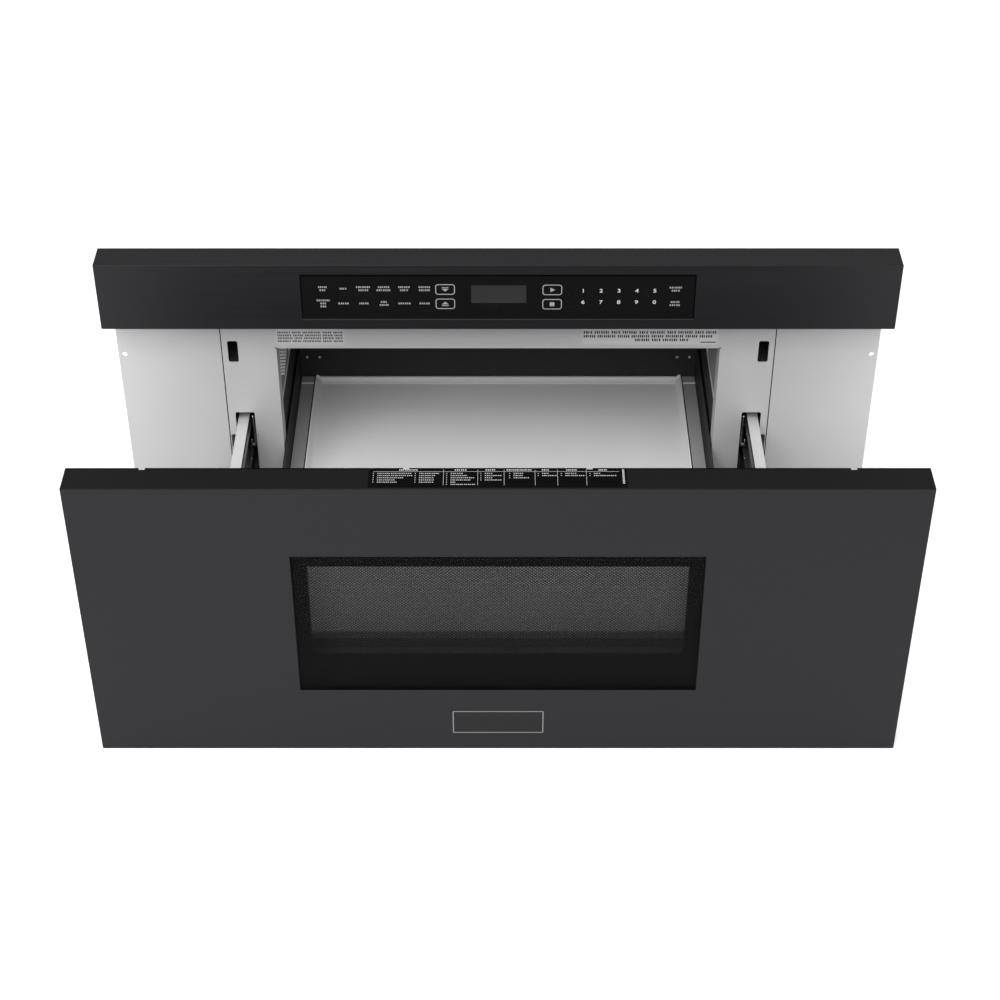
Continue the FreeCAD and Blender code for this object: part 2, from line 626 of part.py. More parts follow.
def gear(teeth, module, width, bore, turn):
    """A spur gear whose axis runs along X from the origin; turn sets one tooth's angle above Y."""
    face = gear_face(int(round(number(teeth))), number(module))
    rim = Part.Circle(FreeCAD.Vector(), FreeCAD.Vector(0, 0, 1), number(bore))
    face = face.cut(Part.Face(Part.Wire(rim.toShape())))
    solid = face.extrude(FreeCAD.Vector(0, 0, number(width)))
    solid.rotate(FreeCAD.Vector(), FreeCAD.Vector(0, 0, 1), turn)
    # The first axis becomes Y, the second Z, and the gear's own axis X.
    solid.rotate(FreeCAD.Vector(), FreeCAD.Vector(1, 1, 1), 120)
    return solid


def shaped(shape, x="0", y="0", z="0"):
    """A feature that holds a ready shape."""
    feature = doc.addObject("Part::Feature", "Shaped")
    feature.Shape = shape
    return place(feature, x, y, z)


def rack_shape():
    """A straight rack with its teeth down, in the row frame, without its place along X."""
    module = number("tooth_module")
    pitch = math.pi * module
    line = number(PITCH_LINE)
    tip = line - ADDENDUM * module
    root = line + DEDENDUM * module
    start = number("rail_start - drawer_open")
    end = number("rail_start + rail_d + rack_tail - drawer_open")
    middle = number("shaft_y")
    half_gap = pitch / 4 + BACKLASH / 2
    slope = math.tan(PRESSURE_ANGLE)
    first = math.ceil((start - middle) / pitch + END_MARGIN)
    last = math.floor((end - middle) / pitch - END_MARGIN)
    outline = [(start, number(PITCH_LINE + " + rack_body")), (start, tip)]
    for index in range(first, last + 1):
        centre = middle + index * pitch
        wide = half_gap + ADDENDUM * module * slope
        narrow = half_gap - DEDENDUM * module * slope
        outline += [(centre - wide, tip), (centre - narrow, root)]
        outline += [(centre + narrow, root), (centre + wide, tip)]
    outline += [(end, tip), (end, number(PITCH_LINE + " + rack_body"))]
    points = [FreeCAD.Vector(0, y, z) for y, z in outline]
    face = Part.Face(Part.makePolygon(points + [points[0]]))
    return face.extrude(FreeCAD.Vector(number("pinion_w"), 0, 0))


# ---------------------------------------------------------------- chassis

def make_base_pan():
    """The floor of the chassis with its side lips, on which the appliance stands."""
    inner = HALF_CHASSIS + " - cover_t"
    outline = [
        ("-(%s)" % HALF_CHASSIS, "0"), (HALF_CHASSIS, "0"), (HALF_CHASSIS, "base_t"), (inner, "base_t"),
        (inner, "base_lip"), (inner + " - base_t", "base_lip"), (inner + " - base_t", "base_t"),
        ("-(%s - base_t)" % inner, "base_t"), ("-(%s - base_t)" % inner, "base_lip"),
        ("-(%s)" % inner, "base_lip"), ("-(%s)" % inner, "base_t"), ("-(%s)" % HALF_CHASSIS, "base_t"),
    ]
    flat = span_box(("-(%s)" % HALF_CHASSIS, HALF_CHASSIS), (PLATE_FACE, "chassis_d"), ("0", "base_t"))
    pan = place(profile("XZ_Plane", outline, REAR_FACE), y=REAR_FACE)
    node(join(flat, pan), "base_pan")


def make_outer_cover():
    """The wrap of both sides and the top."""
    inner = HALF_CHASSIS + " - cover_t"
    outline = [
        ("-(%s)" % HALF_CHASSIS, COVER_LOW), ("-(%s)" % inner, COVER_LOW), ("-(%s)" % inner, COVER_TOP),
        (inner, COVER_TOP), (inner, COVER_LOW), (HALF_CHASSIS, COVER_LOW),
        (HALF_CHASSIS, "chassis_hh"), ("-(%s)" % HALF_CHASSIS, "chassis_hh"),
    ]
    node(place(profile("XZ_Plane", outline, REAR_FACE), y=REAR_FACE), "outer_cover")


def make_rear_panel():
    """The rear panel with the fan's grille, the outlet grille, the inlet's hole and its screw holes."""
    edge = oblong(("-(%s)" % HALF_CHASSIS, HALF_CHASSIS), ("base_t", "chassis_hh"))
    circles = [(spot, "screw_r + screw_hole_play") for spot in rear_screw_places()]
    circles.append((("inlet_x", INLET_Z), "inlet_body_r"))
    panel = place(profile("XZ_Plane", edge, "rear_t", circles=circles), y="chassis_d")
    low = "fan_z - grille_pitch * (grille_rows - 1) / 2 - grille_hh / 2"
    for middle in ("fan_x", "outlet_x"):
        slot = oblong((middle + " - grille_w / 2", middle + " + grille_w / 2"), (low, low + " + grille_hh"))
        slot_rows(panel, "XZ_Plane", slot, "4 * rear_t", "grille_pitch", "grille_rows", "V_Axis")
    node(panel, "rear_panel")


def make_front_plate():
    """The plate round the oven mouth, with the latch holes, the slide slots and the mouth's flanges."""
    edge = oblong(("-(%s)" % PLATE_HALF, PLATE_HALF), ("base_t", COVER_TOP))
    mouth = oblong(("-(%s)" % HALF_MOUTH, HALF_MOUTH), ("mouth_low", "mouth_top"))
    holes = []
    for _, side in SIDES:
        sign = "" if side > 0 else "-"
        latch = side_pair(side, "latch_x - latch_w / 2", "latch_x + latch_w / 2")
        holes.append(oblong(latch, ("latch_low", "latch_low + latch_hh")))
        slot = [("slot_in", "slot_low"), ("slot_step_out", "slot_low"), ("slot_step_out", "slot_step"),
                ("slot_out", "slot_step"), ("slot_out", "slot_top"), ("slot_in", "slot_top")]
        holes.append([("%s%s" % (sign, u), v) for u, v in slot])
    plate = profile("XZ_Plane", edge, "plate_t", polygons=[mouth, *holes])
    round_corners(plate, [corner for hole in holes for corner in hole], "hole_round")
    flanges = [
        span_box(side_pair(side, HALF_MOUTH, HALF_MOUTH + " + cavity_play"),
                 ("0", "mouth_return"), ("mouth_low", "mouth_top"))
        for _, side in SIDES
    ]
    reliefs = [
        cylinder((x, "-(plate_t + over)", z), "relief_r", "plate_t + 2 * over", "Y")
        for x in ("-(%s)" % HALF_MOUTH, HALF_MOUTH) for z in ("mouth_low", "mouth_top")
    ]
    node(cut(join(plate, *flanges), *reliefs), "front_plate")


def make_wings():
    """The side wings that lie on the cabinet's face and are screwed to it."""
    for name, side in SIDES:
        sign = "" if side > 0 else "-"
        across = side_pair(side, HALF_CHASSIS, "wing_reach")
        top = "wing_low + wing_hh"
        hole_x = "%s(wing_reach - wing_hole_inset)" % sign
        holes = [((hole_x, z), "wing_hole_r") for z in ("wing_hole_top", "wing_hole_top - wing_hole_pitch")]
        flat = profile("XZ_Plane", oblong(across, ("wing_low", top)), "plate_t", circles=holes)
        flange = span_box(side_pair(side, HALF_CHASSIS, HALF_CHASSIS + " + plate_t"),
                          ("0", "wing_return"), ("wing_low", top))
        node(join(flat, flange), "wing_" + name)


def make_cavity():
    """The fixed oven cavity behind the mouth: a box open at the front, with its feed and lamp holes."""
    outer = CAVITY_HALF + " + cavity_t"
    edge = oblong(("-(%s)" % outer, outer), (CAVITY_FLOOR + " - cavity_t", CAVITY_ROOF))
    inner = oblong(("-(%s)" % CAVITY_HALF, CAVITY_HALF), (CAVITY_FLOOR, CAVITY_CEILING))
    walls = place(profile("XZ_Plane", edge, "cavity_d", polygons=[inner]), y="cavity_d")
    back = span_box(("-(%s)" % outer, outer), ("cavity_d", "cavity_d + cavity_t"),
                    (CAVITY_FLOOR + " - cavity_t", CAVITY_ROOF))
    low = CAVITY_CEILING + " - cavity_t"
    feed = cylinder(("0", "feed_y", low), "feed_r", "3 * cavity_t")
    lamp = cylinder(("lamp_x", LAMP_Y, low), "lamp_hole_r", "3 * cavity_t")
    node(cut(join(walls, back), feed, lamp), "cavity_liner")


def make_vent_plates():
    """The light plates high on the cavity's side walls; the left one has louvre slots."""
    plates = []
    for _, side in SIDES:
        inner = HALF_MOUTH + " + cavity_play - vent_plate_t"
        x = side_pair(side, inner, HALF_MOUTH + " + cavity_play")[0]
        start = "mouth_return"
        edge = oblong((start, start + " + vent_plate_d"), ("vent_plate_low", "mouth_top"))
        plate = place(profile("YZ_Plane", edge, "vent_plate_t"), x=x)
        if side < 0:
            front = start + " + louvre_inset"
            low = "vent_plate_low + louvre_rise"
            slot = oblong((front, front + " + louvre_d"), (low, low + " + louvre_hh"))
            rows = "trunc((mouth_top - vent_plate_low - 2 * louvre_rise) / louvre_pitch) + 1"
            slot_rows(plate, "YZ_Plane", slot, "4 * vent_plate_t", "louvre_pitch", rows, "V_Axis")
        plates.append(plate)
    node(join(*plates), "vent_plates")


def make_stirrer_cover():
    """The plate under the ceiling that hides the stirrer."""
    half = "stirrer_cover_w / 2"
    node(span_box(("-" + half, half), ("feed_y - " + half, "feed_y + " + half),
                  (CAVITY_CEILING + " - stirrer_cover_t", CAVITY_CEILING)), "stirrer_cover")


# ---------------------------------------------------------------- control panel

def front_shell(low, top, front, back, opening):
    """A folded front skin: open at the back, with a cut-out through its face."""
    outer = span_box(("-(%s)" % HALF_FRONT, HALF_FRONT), (front, back), (low, top))
    inner = span_box(("-(%s - skin_t)" % HALF_FRONT, HALF_FRONT + " - skin_t"),
                     (front + " + skin_t", back + " + skin_t"), (low + " + skin_t", top + " - skin_t"))
    hole = span_box(opening[0], (front + " - skin_t", front + " + 2 * skin_t"), opening[1])
    return outer, [inner, hole]


def make_control_panel():
    """The control panel: skin, touch glass, display board and the carrier that holds them to the plate."""
    outer, tools = front_shell(PANEL_LOW, PANEL_TOP, PANEL_FRONT, PLATE_FACE, touch_pairs())
    node(cut(outer, *tools), "panel_skin")

    glass_front = PANEL_FRONT + " + skin_t"
    glass_back = glass_front + " + glass_t"
    across, high = touch_pairs("glass_lap")
    node(span_box(across, (glass_front, glass_back), high), "touch_glass")

    board_front = glass_back + " + display_d"
    board_back = board_front + " + board_t"
    low = "%s + touch_low + display_rise" % PANEL_LOW
    display = span_box(("-display_w / 2", "display_w / 2"), (glass_back, board_front),
                       (low, low + " + display_hh"))
    board = span_box(("-touch_w / 2", "touch_w / 2"), (board_front, board_back), touch_pairs()[1])
    node(join(display, board), "display_board")

    wall = "panel_frame_t"
    across, high = touch_pairs("glass_lap")
    frame_outer = span_box(across, (glass_back, PLATE_FACE), high)
    across, high = touch_pairs("glass_lap - " + wall)
    front_room = span_box(across, (glass_back + " - over", board_back), high)
    across, high = touch_pairs("-2 * " + wall)
    rear_room = span_box(across, (board_back + " - over", PLATE_FACE + " - " + wall), high)
    node(cut(frame_outer, front_room, rear_room), "panel_frame")


# ---------------------------------------------------------------- drawer front

def make_drawer_skin():
    """The drawer front's folded skin with the window's cut-out and the notches in its top flange."""
    outer, tools = front_shell(FRONT_LOW, FRONT_TOP, DOOR_FRONT, DOOR_BACK, window_pairs())
    for spot in ("-notch_far", "-notch_near", "notch_near", "notch_far"):
        tools.append(span_box((spot + " - notch_w / 2", spot + " + notch_w / 2"),
                              (DOOR_BACK + " - notch_d", DOOR_BACK + " + skin_t"),
                              (FRONT_TOP + " - 2 * skin_t", FRONT_TOP + " + skin_t")))
    node(cut(outer, *tools), "drawer_front_skin")


def make_window():
    """The window glass, the frame with its tunnel, the screen, the inner window and the choke cover."""
    across, high = window_pairs("glass_lap")
    node(span_box(across, (DOOR_FRONT + " + skin_t", GLASS_BACK), high), "window_glass")

    inner_half = HALF_FRONT + " - skin_t"
    edge = oblong(("-(%s)" % inner_half, inner_half),
                  (FRONT_LOW + " + skin_t", FRONT_TOP + " - skin_t - notch_d"))
    plate = place(profile("XZ_Plane", edge, "frame_t", polygons=[oblong(*screen_pairs())]), y=DOOR_BACK)
    across, high = screen_pairs("screen_lap + tunnel_t")
    tunnel_outer = span_box(across, (GLASS_BACK, FRAME_FACE), high)
    across, high = screen_pairs("screen_lap")
    tunnel_inner = span_box(across, (GLASS_BACK + " - over", FRAME_FACE + " + over"), high)
    ring = cut(tunnel_outer, tunnel_inner)
    node(join(plate, ring), "door_frame")

    node(span_box(across, (FRAME_FACE + " - screen_t", FRAME_FACE), high), "perforated_screen")

    node(span_box(across, (DOOR_BACK, DOOR_BACK + " + inner_glass_t"), high), "inner_window")

    outer_half = HALF_MOUTH + " - choke_play"
    edge = oblong(("-(%s)" % outer_half, outer_half), ("mouth_low + choke_play", "mouth_top - choke_play"))
    hole = oblong(*screen_pairs("screen_lap"))
    cover = profile("XZ_Plane", edge, "choke_t", polygons=[hole])
    node(place(cover, y=DOOR_BACK + " + choke_t"), "choke_cover")


def make_badge():
    """The blank badge under the window, a thin plate with a raised outline."""
    half = "badge_w / 2"
    top = "badge_low + badge_hh"
    back = DOOR_FRONT
    rim = span_box(("-" + half, half), (back + " - badge_t", back), ("badge_low", top))
    field = span_box(("-(%s - badge_rim)" % half, half + " - badge_rim"),
                     (back + " - badge_t - over", back + " - badge_t / 2"),
                     ("badge_low + badge_rim", top + " - badge_rim"))
    node(cut(rim, field), "badge_plate")


def make_latch_hooks():
    """The hooks on the drawer front's back that enter the latch holes when it closes."""
    arms = []
    middle = "latch_low + latch_hh / 2"
    tip = DOOR_BACK + " + hook_d"
    for _, side in SIDES:
        across = side_pair(side, "latch_x - hook_w / 2", "latch_x + hook_w / 2")
        low = middle + " - hook_hh / 2"
        arm = span_box(across, (DOOR_BACK, tip), (low, middle + " + hook_hh / 2"))
        nose = span_box(across, (tip + " - hook_nose_d", tip), (low + " - hook_nose", low))
        arms.append(join(arm, nose))
    node(join(*arms), "latch_hooks")


# ---------------------------------------------------------------- drawer box

def make_drawer_pan():
    """The drawer box: a stepped floor with low sides, and the rear wall."""
    inner = BOX_HALF + " - box_t"
    half = [
        (BOX_HALF, "ledge_z - box_t"), (BOX_HALF, "box_side_top"), (inner, "box_side_top"),
        (inner, "ledge_z"), ("ledge_edge", "ledge_z"), ("ledge_edge", "well_z"),
    ]
    under = [("ledge_edge + box_t", "well_z - box_t"), ("ledge_edge + box_t", "ledge_z - box_t")]
    outline = half + [("-(%s)" % u, v) for u, v in reversed(half)]
    outline += [("-(%s)" % u, v) for u, v in reversed(under)] + under
    front = "%s + choke_t" % DOOR_BACK
    trough = place(profile("XZ_Plane", outline, "(%s) - (%s)" % (BOX_REAR, front)), y=BOX_REAR)
    back = span_box(("-(%s)" % BOX_HALF, BOX_HALF), (BOX_REAR, BOX_REAR + " + box_t"),
                    ("well_z - box_t", "box_rear_top"))
    node(join(trough, back), "drawer_pan")


def make_tray():
    """The light tray in the drawer: a shallow dish with sloping sides and a narrow rim."""
    front = "tray_front - drawer_open"
    rear = BOX_REAR + " - tray_play"
    slope = "tray_half_w - tray_floor_half_w"
    top = "well_z + tray_hh"
    floor = "well_z + tray_floor_t"
    outer = taper(("-tray_floor_half_w", "tray_floor_half_w"),
                  (front + " + " + slope, rear + " - (%s)" % slope),
                  ("-tray_half_w", "tray_half_w"), (front, rear), ("well_z", top))
    wall = "tray_rim_w"
    low = "tray_floor_half_w - " + wall
    high = "tray_half_w - " + wall
    inner = taper(("-(%s)" % low, low),
                  (front + " + %s + %s" % (slope, wall), rear + " - (%s + %s)" % (slope, wall)),
                  ("-(%s)" % high, high), (front + " + " + wall, rear + " - " + wall), (floor, top))
    node(cut(outer, inner), "glass_tray")


# ---------------------------------------------------------------- slides

def rail_body(outline, side, start):
    """A slide member: its outline on one side, drawn from the middle plane outwards, along Y."""
    sign = "" if side > 0 else "-"
    corners = [("%s(%s)" % (sign, u), v) for u, v in outline]
    return place(profile("XZ_Plane", corners, "rail_d"), y=start + " + rail_d")


def channel(closed, opening, low, top, sheet_t):
    """The corners of a channel's section, from its web's face to the ends of its flanges."""
    inward = "(%s) + (%s)" if opening == "out" else "(%s) - (%s)"
    far, near = closed
    web = inward % (near, sheet_t)
    return [
        (near, low), (far, low), (far, "%s + %s" % (low, sheet_t)), (web, "%s + %s" % (low, sheet_t)),
        (web, "%s - %s" % (top, sheet_t)), (far, "%s - %s" % (top, sheet_t)), (far, top), (near, top),
    ]


def ball_row(x, z, radius, start, side):
    """A row of balls along one race of a middle member."""
    sign = "" if side > 0 else "-"
    row = []
    for index in range(int(number("rail_d / ball_pitch"))):
        ball = doc.addObject("Part::Sphere", "Ball")
        bind(ball, Radius=radius)
        y = "%s + ball_pitch * (%d + 1 / 2)" % (start, index)
        row.append(place(ball, "%s(%s)" % (sign, x), y, z))
    return row


def make_slides():
    """Both ball slides: fixed member and support, middle member, drawer member, rail bracket and rack."""
    drawer_start = "rail_start - drawer_open"
    middle_start = "rail_start - drawer_open / 2"
    supports = []
    racks = []
    for name, side in SIDES:
        rail = channel((RAIL_IN, WEB_IN), "in", RAIL_LOW, RAIL_TOP, "rail_t")
        node(rail_body(rail, side, drawer_start), "slide_inner_" + name)

        low = "%s - middle_hh / 2" % RAIL_MID
        top = "%s + middle_hh / 2" % RAIL_MID
        web_in = "middle_web_x"
        web_out = "middle_web_x + rail_t"
        far_in = web_in + " - middle_in"
        far_out = web_out + " + middle_out"
        section = [
            (far_in, low), (far_out, low), (far_out, low + " + rail_t"), (web_out, low + " + rail_t"),
            (web_out, top + " - rail_t"), (far_out, top + " - rail_t"), (far_out, top), (far_in, top),
            (far_in, top + " - rail_t"), (web_in, top + " - rail_t"), (web_in, low + " + rail_t"),
            (far_in, low + " + rail_t"),
        ]
        inner_gap = "((middle_hh - fixed_hh) / 2 - rail_t)"
        outer_gap = "((rail_hh - middle_hh) / 2 - rail_t)"
        inner_r = "(%s - ball_play) / 2" % inner_gap
        outer_r = "(%s - ball_play) / 2" % outer_gap
        rows = []
        for way in ("-", "+"):
            z = "%s %s (middle_hh / 2 - rail_t - %s)" % (RAIL_MID, way, inner_r)
            rows += ball_row("fixed_in + fixed_w - %s" % inner_gap, z, inner_r, middle_start, side)
            z = "%s %s (middle_hh / 2 + %s)" % (RAIL_MID, way, outer_r)
            rows += ball_row(web_out + " + middle_out / 2", z, outer_r, middle_start, side)
        node(join(rail_body(section, side, middle_start), *rows), "slide_middle_" + name)

        fixed = channel(("fixed_in + fixed_w", "fixed_in"), "out", "%s - fixed_hh / 2" % RAIL_MID,
                        "%s + fixed_hh / 2" % RAIL_MID, "rail_t")
        node(rail_body(fixed, side, "rail_start"), "slide_fixed_" + name)

        for start in ("rail_start + support_inset", "rail_start + rail_d - support_inset - support_d"):
            across = side_pair(side, CAVITY_HALF + " + cavity_t", "fixed_in")
            z = ("%s - support_hh / 2" % RAIL_MID, "%s + support_hh / 2" % RAIL_MID)
            block = span_box(across, (start, start + " + support_d"), z)
            room = span_box(side_pair(side, CAVITY_HALF + " + cavity_t + rail_t", "fixed_in - rail_t"),
                            (start + " - over", start + " + support_d + over"),
                            (z[0] + " + rail_t", z[1] + " + over"))
            supports.append(cut(block, room))

        along = (DOOR_BACK, drawer_start + " + rail_d + rack_tail")
        web = span_box(side_pair(side, WEB_IN, "bracket_out"), along, (PITCH_LINE, "bracket_top"))
        flange = span_box(side_pair(side, BRACKET_IN, "bracket_out"), along, (RAIL_TOP, "bracket_top"))
        node(join(web, flange), "rail_bracket_" + name)

        spacer = span_box(side_pair(side, PINION_OUT, WEB_IN),
                          (drawer_start, drawer_start + " + rail_d + rack_tail"),
                          (PITCH_LINE + " + tooth_module * 2", PITCH_LINE + " + rack_body"))
        toothed = shaped(rack_shape(), x=side_pair(side, PINION_IN, PINION_OUT)[0])
        racks.append(join(toothed, spacer))
    node(join(*supports), "slide_supports")
    node(join(*racks), "racks")


# ---------------------------------------------------------------- drive

def make_drive():
    """The cross shaft with its wheel and pinions, its bearings, and the geared motor."""
    axis_at = ("shaft_y", "shaft_z")
    end = PINION_OUT
    node(cylinder(("-(%s)" % end, *axis_at), "shaft_r", "2 * (%s)" % end, "X"), "drive_shaft")

    # A tooth of each pinion stands upright, in the rack's gap above it.
    pinions = [
        shaped(gear("pinion_teeth", "tooth_module", "pinion_w", "shaft_r", 90),
               side_pair(side, PINION_IN, PINION_OUT)[0], *axis_at)
        for _, side in SIDES
    ]
    node(join(*pinions), "pinions")

    # A tooth of the wheel points at the motor gear, which has a gap there.
    wheel = shaped(gear("wheel_teeth", "wheel_module", "wheel_w", "shaft_r", 0), "wheel_x", *axis_at)
    node(wheel, "drive_wheel")
    gap_turn = 180 + 180 / number("motor_teeth")
    toothed = shaped(gear("motor_teeth", "wheel_module", "wheel_w", "motor_shaft_r / 2", gap_turn),
                     "wheel_x", MOTOR_Y, "shaft_z")
    plate_x = "wheel_x + wheel_w + face_play"
    spindle = cylinder(("wheel_x", MOTOR_Y, "shaft_z"), "motor_shaft_r",
                       "wheel_w + face_play + motor_mount_t + gearbox_w / 2", "X")
    node(join(toothed, spindle), "motor_gear")

    half_d = "gearbox_d / 2"
    half_hh = "gearbox_hh / 2"
    box_x = plate_x + " + motor_mount_t"
    along = (MOTOR_Y + " - " + half_d, MOTOR_Y + " + " + half_d)
    mount = span_box((plate_x, box_x), along, ("base_t", "shaft_z + " + half_hh))
    foot = span_box((plate_x, box_x + " + gearbox_w"), along, ("base_t", "base_t + motor_mount_t"))
    high = ("shaft_z - " + half_hh, "shaft_z + " + half_hh)
    gearbox = span_box((box_x, box_x + " + gearbox_w"), along, high)
    can = cylinder((box_x + " + gearbox_w", MOTOR_Y, "shaft_z"), "motor_can_r", "motor_can_w", "X")
    bore = cylinder(("wheel_x", MOTOR_Y, "shaft_z"), "motor_shaft_r + run_play",
                    "wheel_w + face_play + motor_mount_t + gearbox_w / 2 + face_play", "X")
    node(cut(join(mount, foot, gearbox, can), bore), "drive_motor")

    brackets = []
    for _, side in SIDES:
        upright = span_box(side_pair(side, "bearing_x", "bearing_x + bearing_w"),
                           ("shaft_y - bearing_d / 2", "shaft_y + bearing_d / 2"),
                           ("base_t", "shaft_z + bearing_d / 2"))
        foot = span_box(side_pair(side, "bearing_x - bearing_foot", "bearing_x"),
                        ("shaft_y - bearing_d / 2", "shaft_y + bearing_d / 2"),
                        ("base_t", "base_t + bearing_t"))
        hole = cylinder((side_pair(side, "bearing_x - over", "bearing_x + bearing_w + over")[0], *axis_at),
                        "shaft_r + run_play", "bearing_w + 2 * over", "X")
        brackets.append(cut(join(upright, foot), hole))
    node(join(*brackets), "shaft_bearings")


# ---------------------------------------------------------------- interlocks

LEVER_Z = "latch_low + latch_hh / 2 + hook_hh / 2 + lever_eye_r + face_play"
LEVER_Y = "hook_d - plate_t - close_gap + hook_play + lever_t / 2"


def make_interlocks():
    """The switch housings behind the latch holes, each with a sprung lever that a hook meets."""
    for name, side in SIDES:
        sign = "" if side > 0 else "-"
        low = "latch_low - 2 * switch_wall"
        top = "latch_low + latch_hh + 2 * switch_wall"
        outer = span_box(side_pair(side, "latch_x - switch_half_w", "latch_x + switch_half_w"),
                         ("0", "switch_d"), (low, top))
        room = span_box(side_pair(side, "latch_x - switch_half_w + switch_wall",
                                  "latch_x + switch_half_w - switch_wall"),
                        ("-over", "switch_d - switch_wall"), (low + " + switch_wall", top + " - switch_wall"))
        pin_x = side_pair(side, "latch_x - switch_half_w", "latch_x + switch_half_w")[0]
        pin = cylinder((pin_x, LEVER_Y, LEVER_Z), "lever_pin_r", "2 * switch_half_w", "X")
        node(join(cut(outer, room), pin), "interlock_switch_" + name)

        left = side_pair(side, "latch_x - lever_w / 2", "latch_x + lever_w / 2")
        eye = cylinder((left[0], LEVER_Y, LEVER_Z), "lever_eye_r", "lever_w", "X")
        blade = span_box(left, (LEVER_Y + " - lever_t / 2", LEVER_Y + " + lever_t / 2"),
                         (LEVER_Z + " - lever_drop", LEVER_Z))
        hole = cylinder(("%s - over" % left[0], LEVER_Y, LEVER_Z), "lever_pin_r + run_play",
                        "lever_w + 2 * over", "X")
        node(cut(join(eye, blade), hole), "interlock_lever_" + name)


# ---------------------------------------------------------------- microwave generator

def make_waveguide():
    """The duct on the cavity's roof that leads from the magnetron to the stirrer."""
    half = "guide_w / 2"
    outer = span_box(("-" + half, half), ("guide_front", GUIDE_BACK), (CAVITY_ROOF, GUIDE_TOP))
    inner = span_box(("-(%s - guide_t)" % half, half + " - guide_t"),
                     ("guide_front + guide_t", GUIDE_BACK + " - guide_t"),
                     (CAVITY_ROOF + " + guide_t", GUIDE_TOP + " - guide_t"))
    through = "guide_t + 2 * over"
    feed = cylinder(("0", "feed_y", CAVITY_ROOF + " - over"), "feed_r", through)
    antenna = cylinder(("0", MAGNETRON_Y, CAVITY_ROOF + " - over"), "antenna_r + antenna_play", through)
    spindle = cylinder(("0", "feed_y", GUIDE_TOP + " - guide_t - over"),
                       "stirrer_shaft_r + stirrer_play", through)
    node(cut(outer, inner, feed, antenna, spindle), "waveguide")


def make_stirrer():
    """The stirrer's blade on its shaft, and the motor on the waveguide."""
    z = "%s + stirrer_z_rise" % CAVITY_ROOF
    vanes = []
    for half_x, half_y in (("stirrer_r", "stirrer_vane_w / 2"), ("stirrer_vane_w / 2", "stirrer_r")):
        vanes.append(span_box(("-" + half_x, half_x), ("feed_y - " + half_y, "feed_y + " + half_y),
                              (z, z + " + stirrer_t")))
    shaft_top = GUIDE_TOP + " + stirrer_motor_hh / 2"
    shaft = cylinder(("0", "feed_y", z), "stirrer_shaft_r", "%s - (%s)" % (shaft_top, z))
    node(join(*vanes, shaft), "stirrer_blade")

    can = cylinder(("0", "feed_y", GUIDE_TOP), "stirrer_motor_r", "stirrer_motor_hh")
    bore = cylinder(("0", "feed_y", GUIDE_TOP + " - over"), "stirrer_shaft_r + run_play",
                    "over + stirrer_motor_hh / 2 + face_play")
    node(cut(can, bore), "stirrer_motor")


def make_magnetron():
    """The magnetron under the waveguide: antenna, finned cooling block and filter box."""
    half_w = "magnetron_w / 2"
    half_d = "magnetron_d / 2"
    top = CAVITY_ROOF
    low = "%s - magnetron_hh" % top
    across = ("-" + half_w, half_w)
    along = (MAGNETRON_Y + " - " + half_d, MAGNETRON_Y + " + " + half_d)
    pieces = [
        span_box(across, along, (top + " - yoke_t", top)),
        span_box(across, along, (low, low + " + yoke_t")),
        span_box((across[0], across[0] + " + yoke_t"), along, (low, top)),
        span_box((across[1] + " - yoke_t", across[1]), along, (low, top)),
        cylinder(("0", MAGNETRON_Y, low), "anode_r", "magnetron_hh"),
        cylinder(("0", MAGNETRON_Y, top), "antenna_r", "antenna_hh"),
        span_box(across, along, (low + " - filter_hh", low)),
    ]
    for index in range(int(number("fin_count"))):
        z = "%s + (%d + 1) * magnetron_hh / (fin_count + 1)" % (low, index)
        pieces.append(span_box(across, along, (z, z + " + fin_t")))
    node(join(*pieces), "magnetron")

    at = (half_w, MAGNETRON_Y, low + " - filter_hh / 2")
    node(cylinder(at, "cutout_r", "cutout_hh", "X"), "thermal_cutout")


def make_high_voltage():
    """The transformer and the capacitor on the base pan."""
    low = "base_t"
    core = box(("transformer_x", TRANSFORMER_Y, low), ("transformer_w", "transformer_d", "transformer_hh"))
    coil = box(("transformer_x + (transformer_w - coil_w) / 2", TRANSFORMER_Y + " - coil_reach",
                low + " + (transformer_hh - coil_hh) / 2"),
               ("coil_w", "transformer_d + 2 * coil_reach", "coil_hh"))
    node(join(core, coil), "hv_transformer")

    can = box(("capacitor_x", TRANSFORMER_Y, low), ("capacitor_w", "capacitor_d", "capacitor_hh"))
    pins = [
        cylinder(("capacitor_x + capacitor_w * %d / 4" % quarter, TRANSFORMER_Y + " + capacitor_d / 2",
                  low + " + capacitor_hh"), "terminal_r", "terminal_hh")
        for quarter in (1, 3)
    ]
    node(join(can, *pins), "hv_capacitor")


# ---------------------------------------------------------------- cooling

FAN_BACK = REAR_FACE
FAN_FRONT = FAN_BACK + " - fan_housing_d"
FAN_MID = FAN_BACK + " - fan_plate_t - fan_gap"


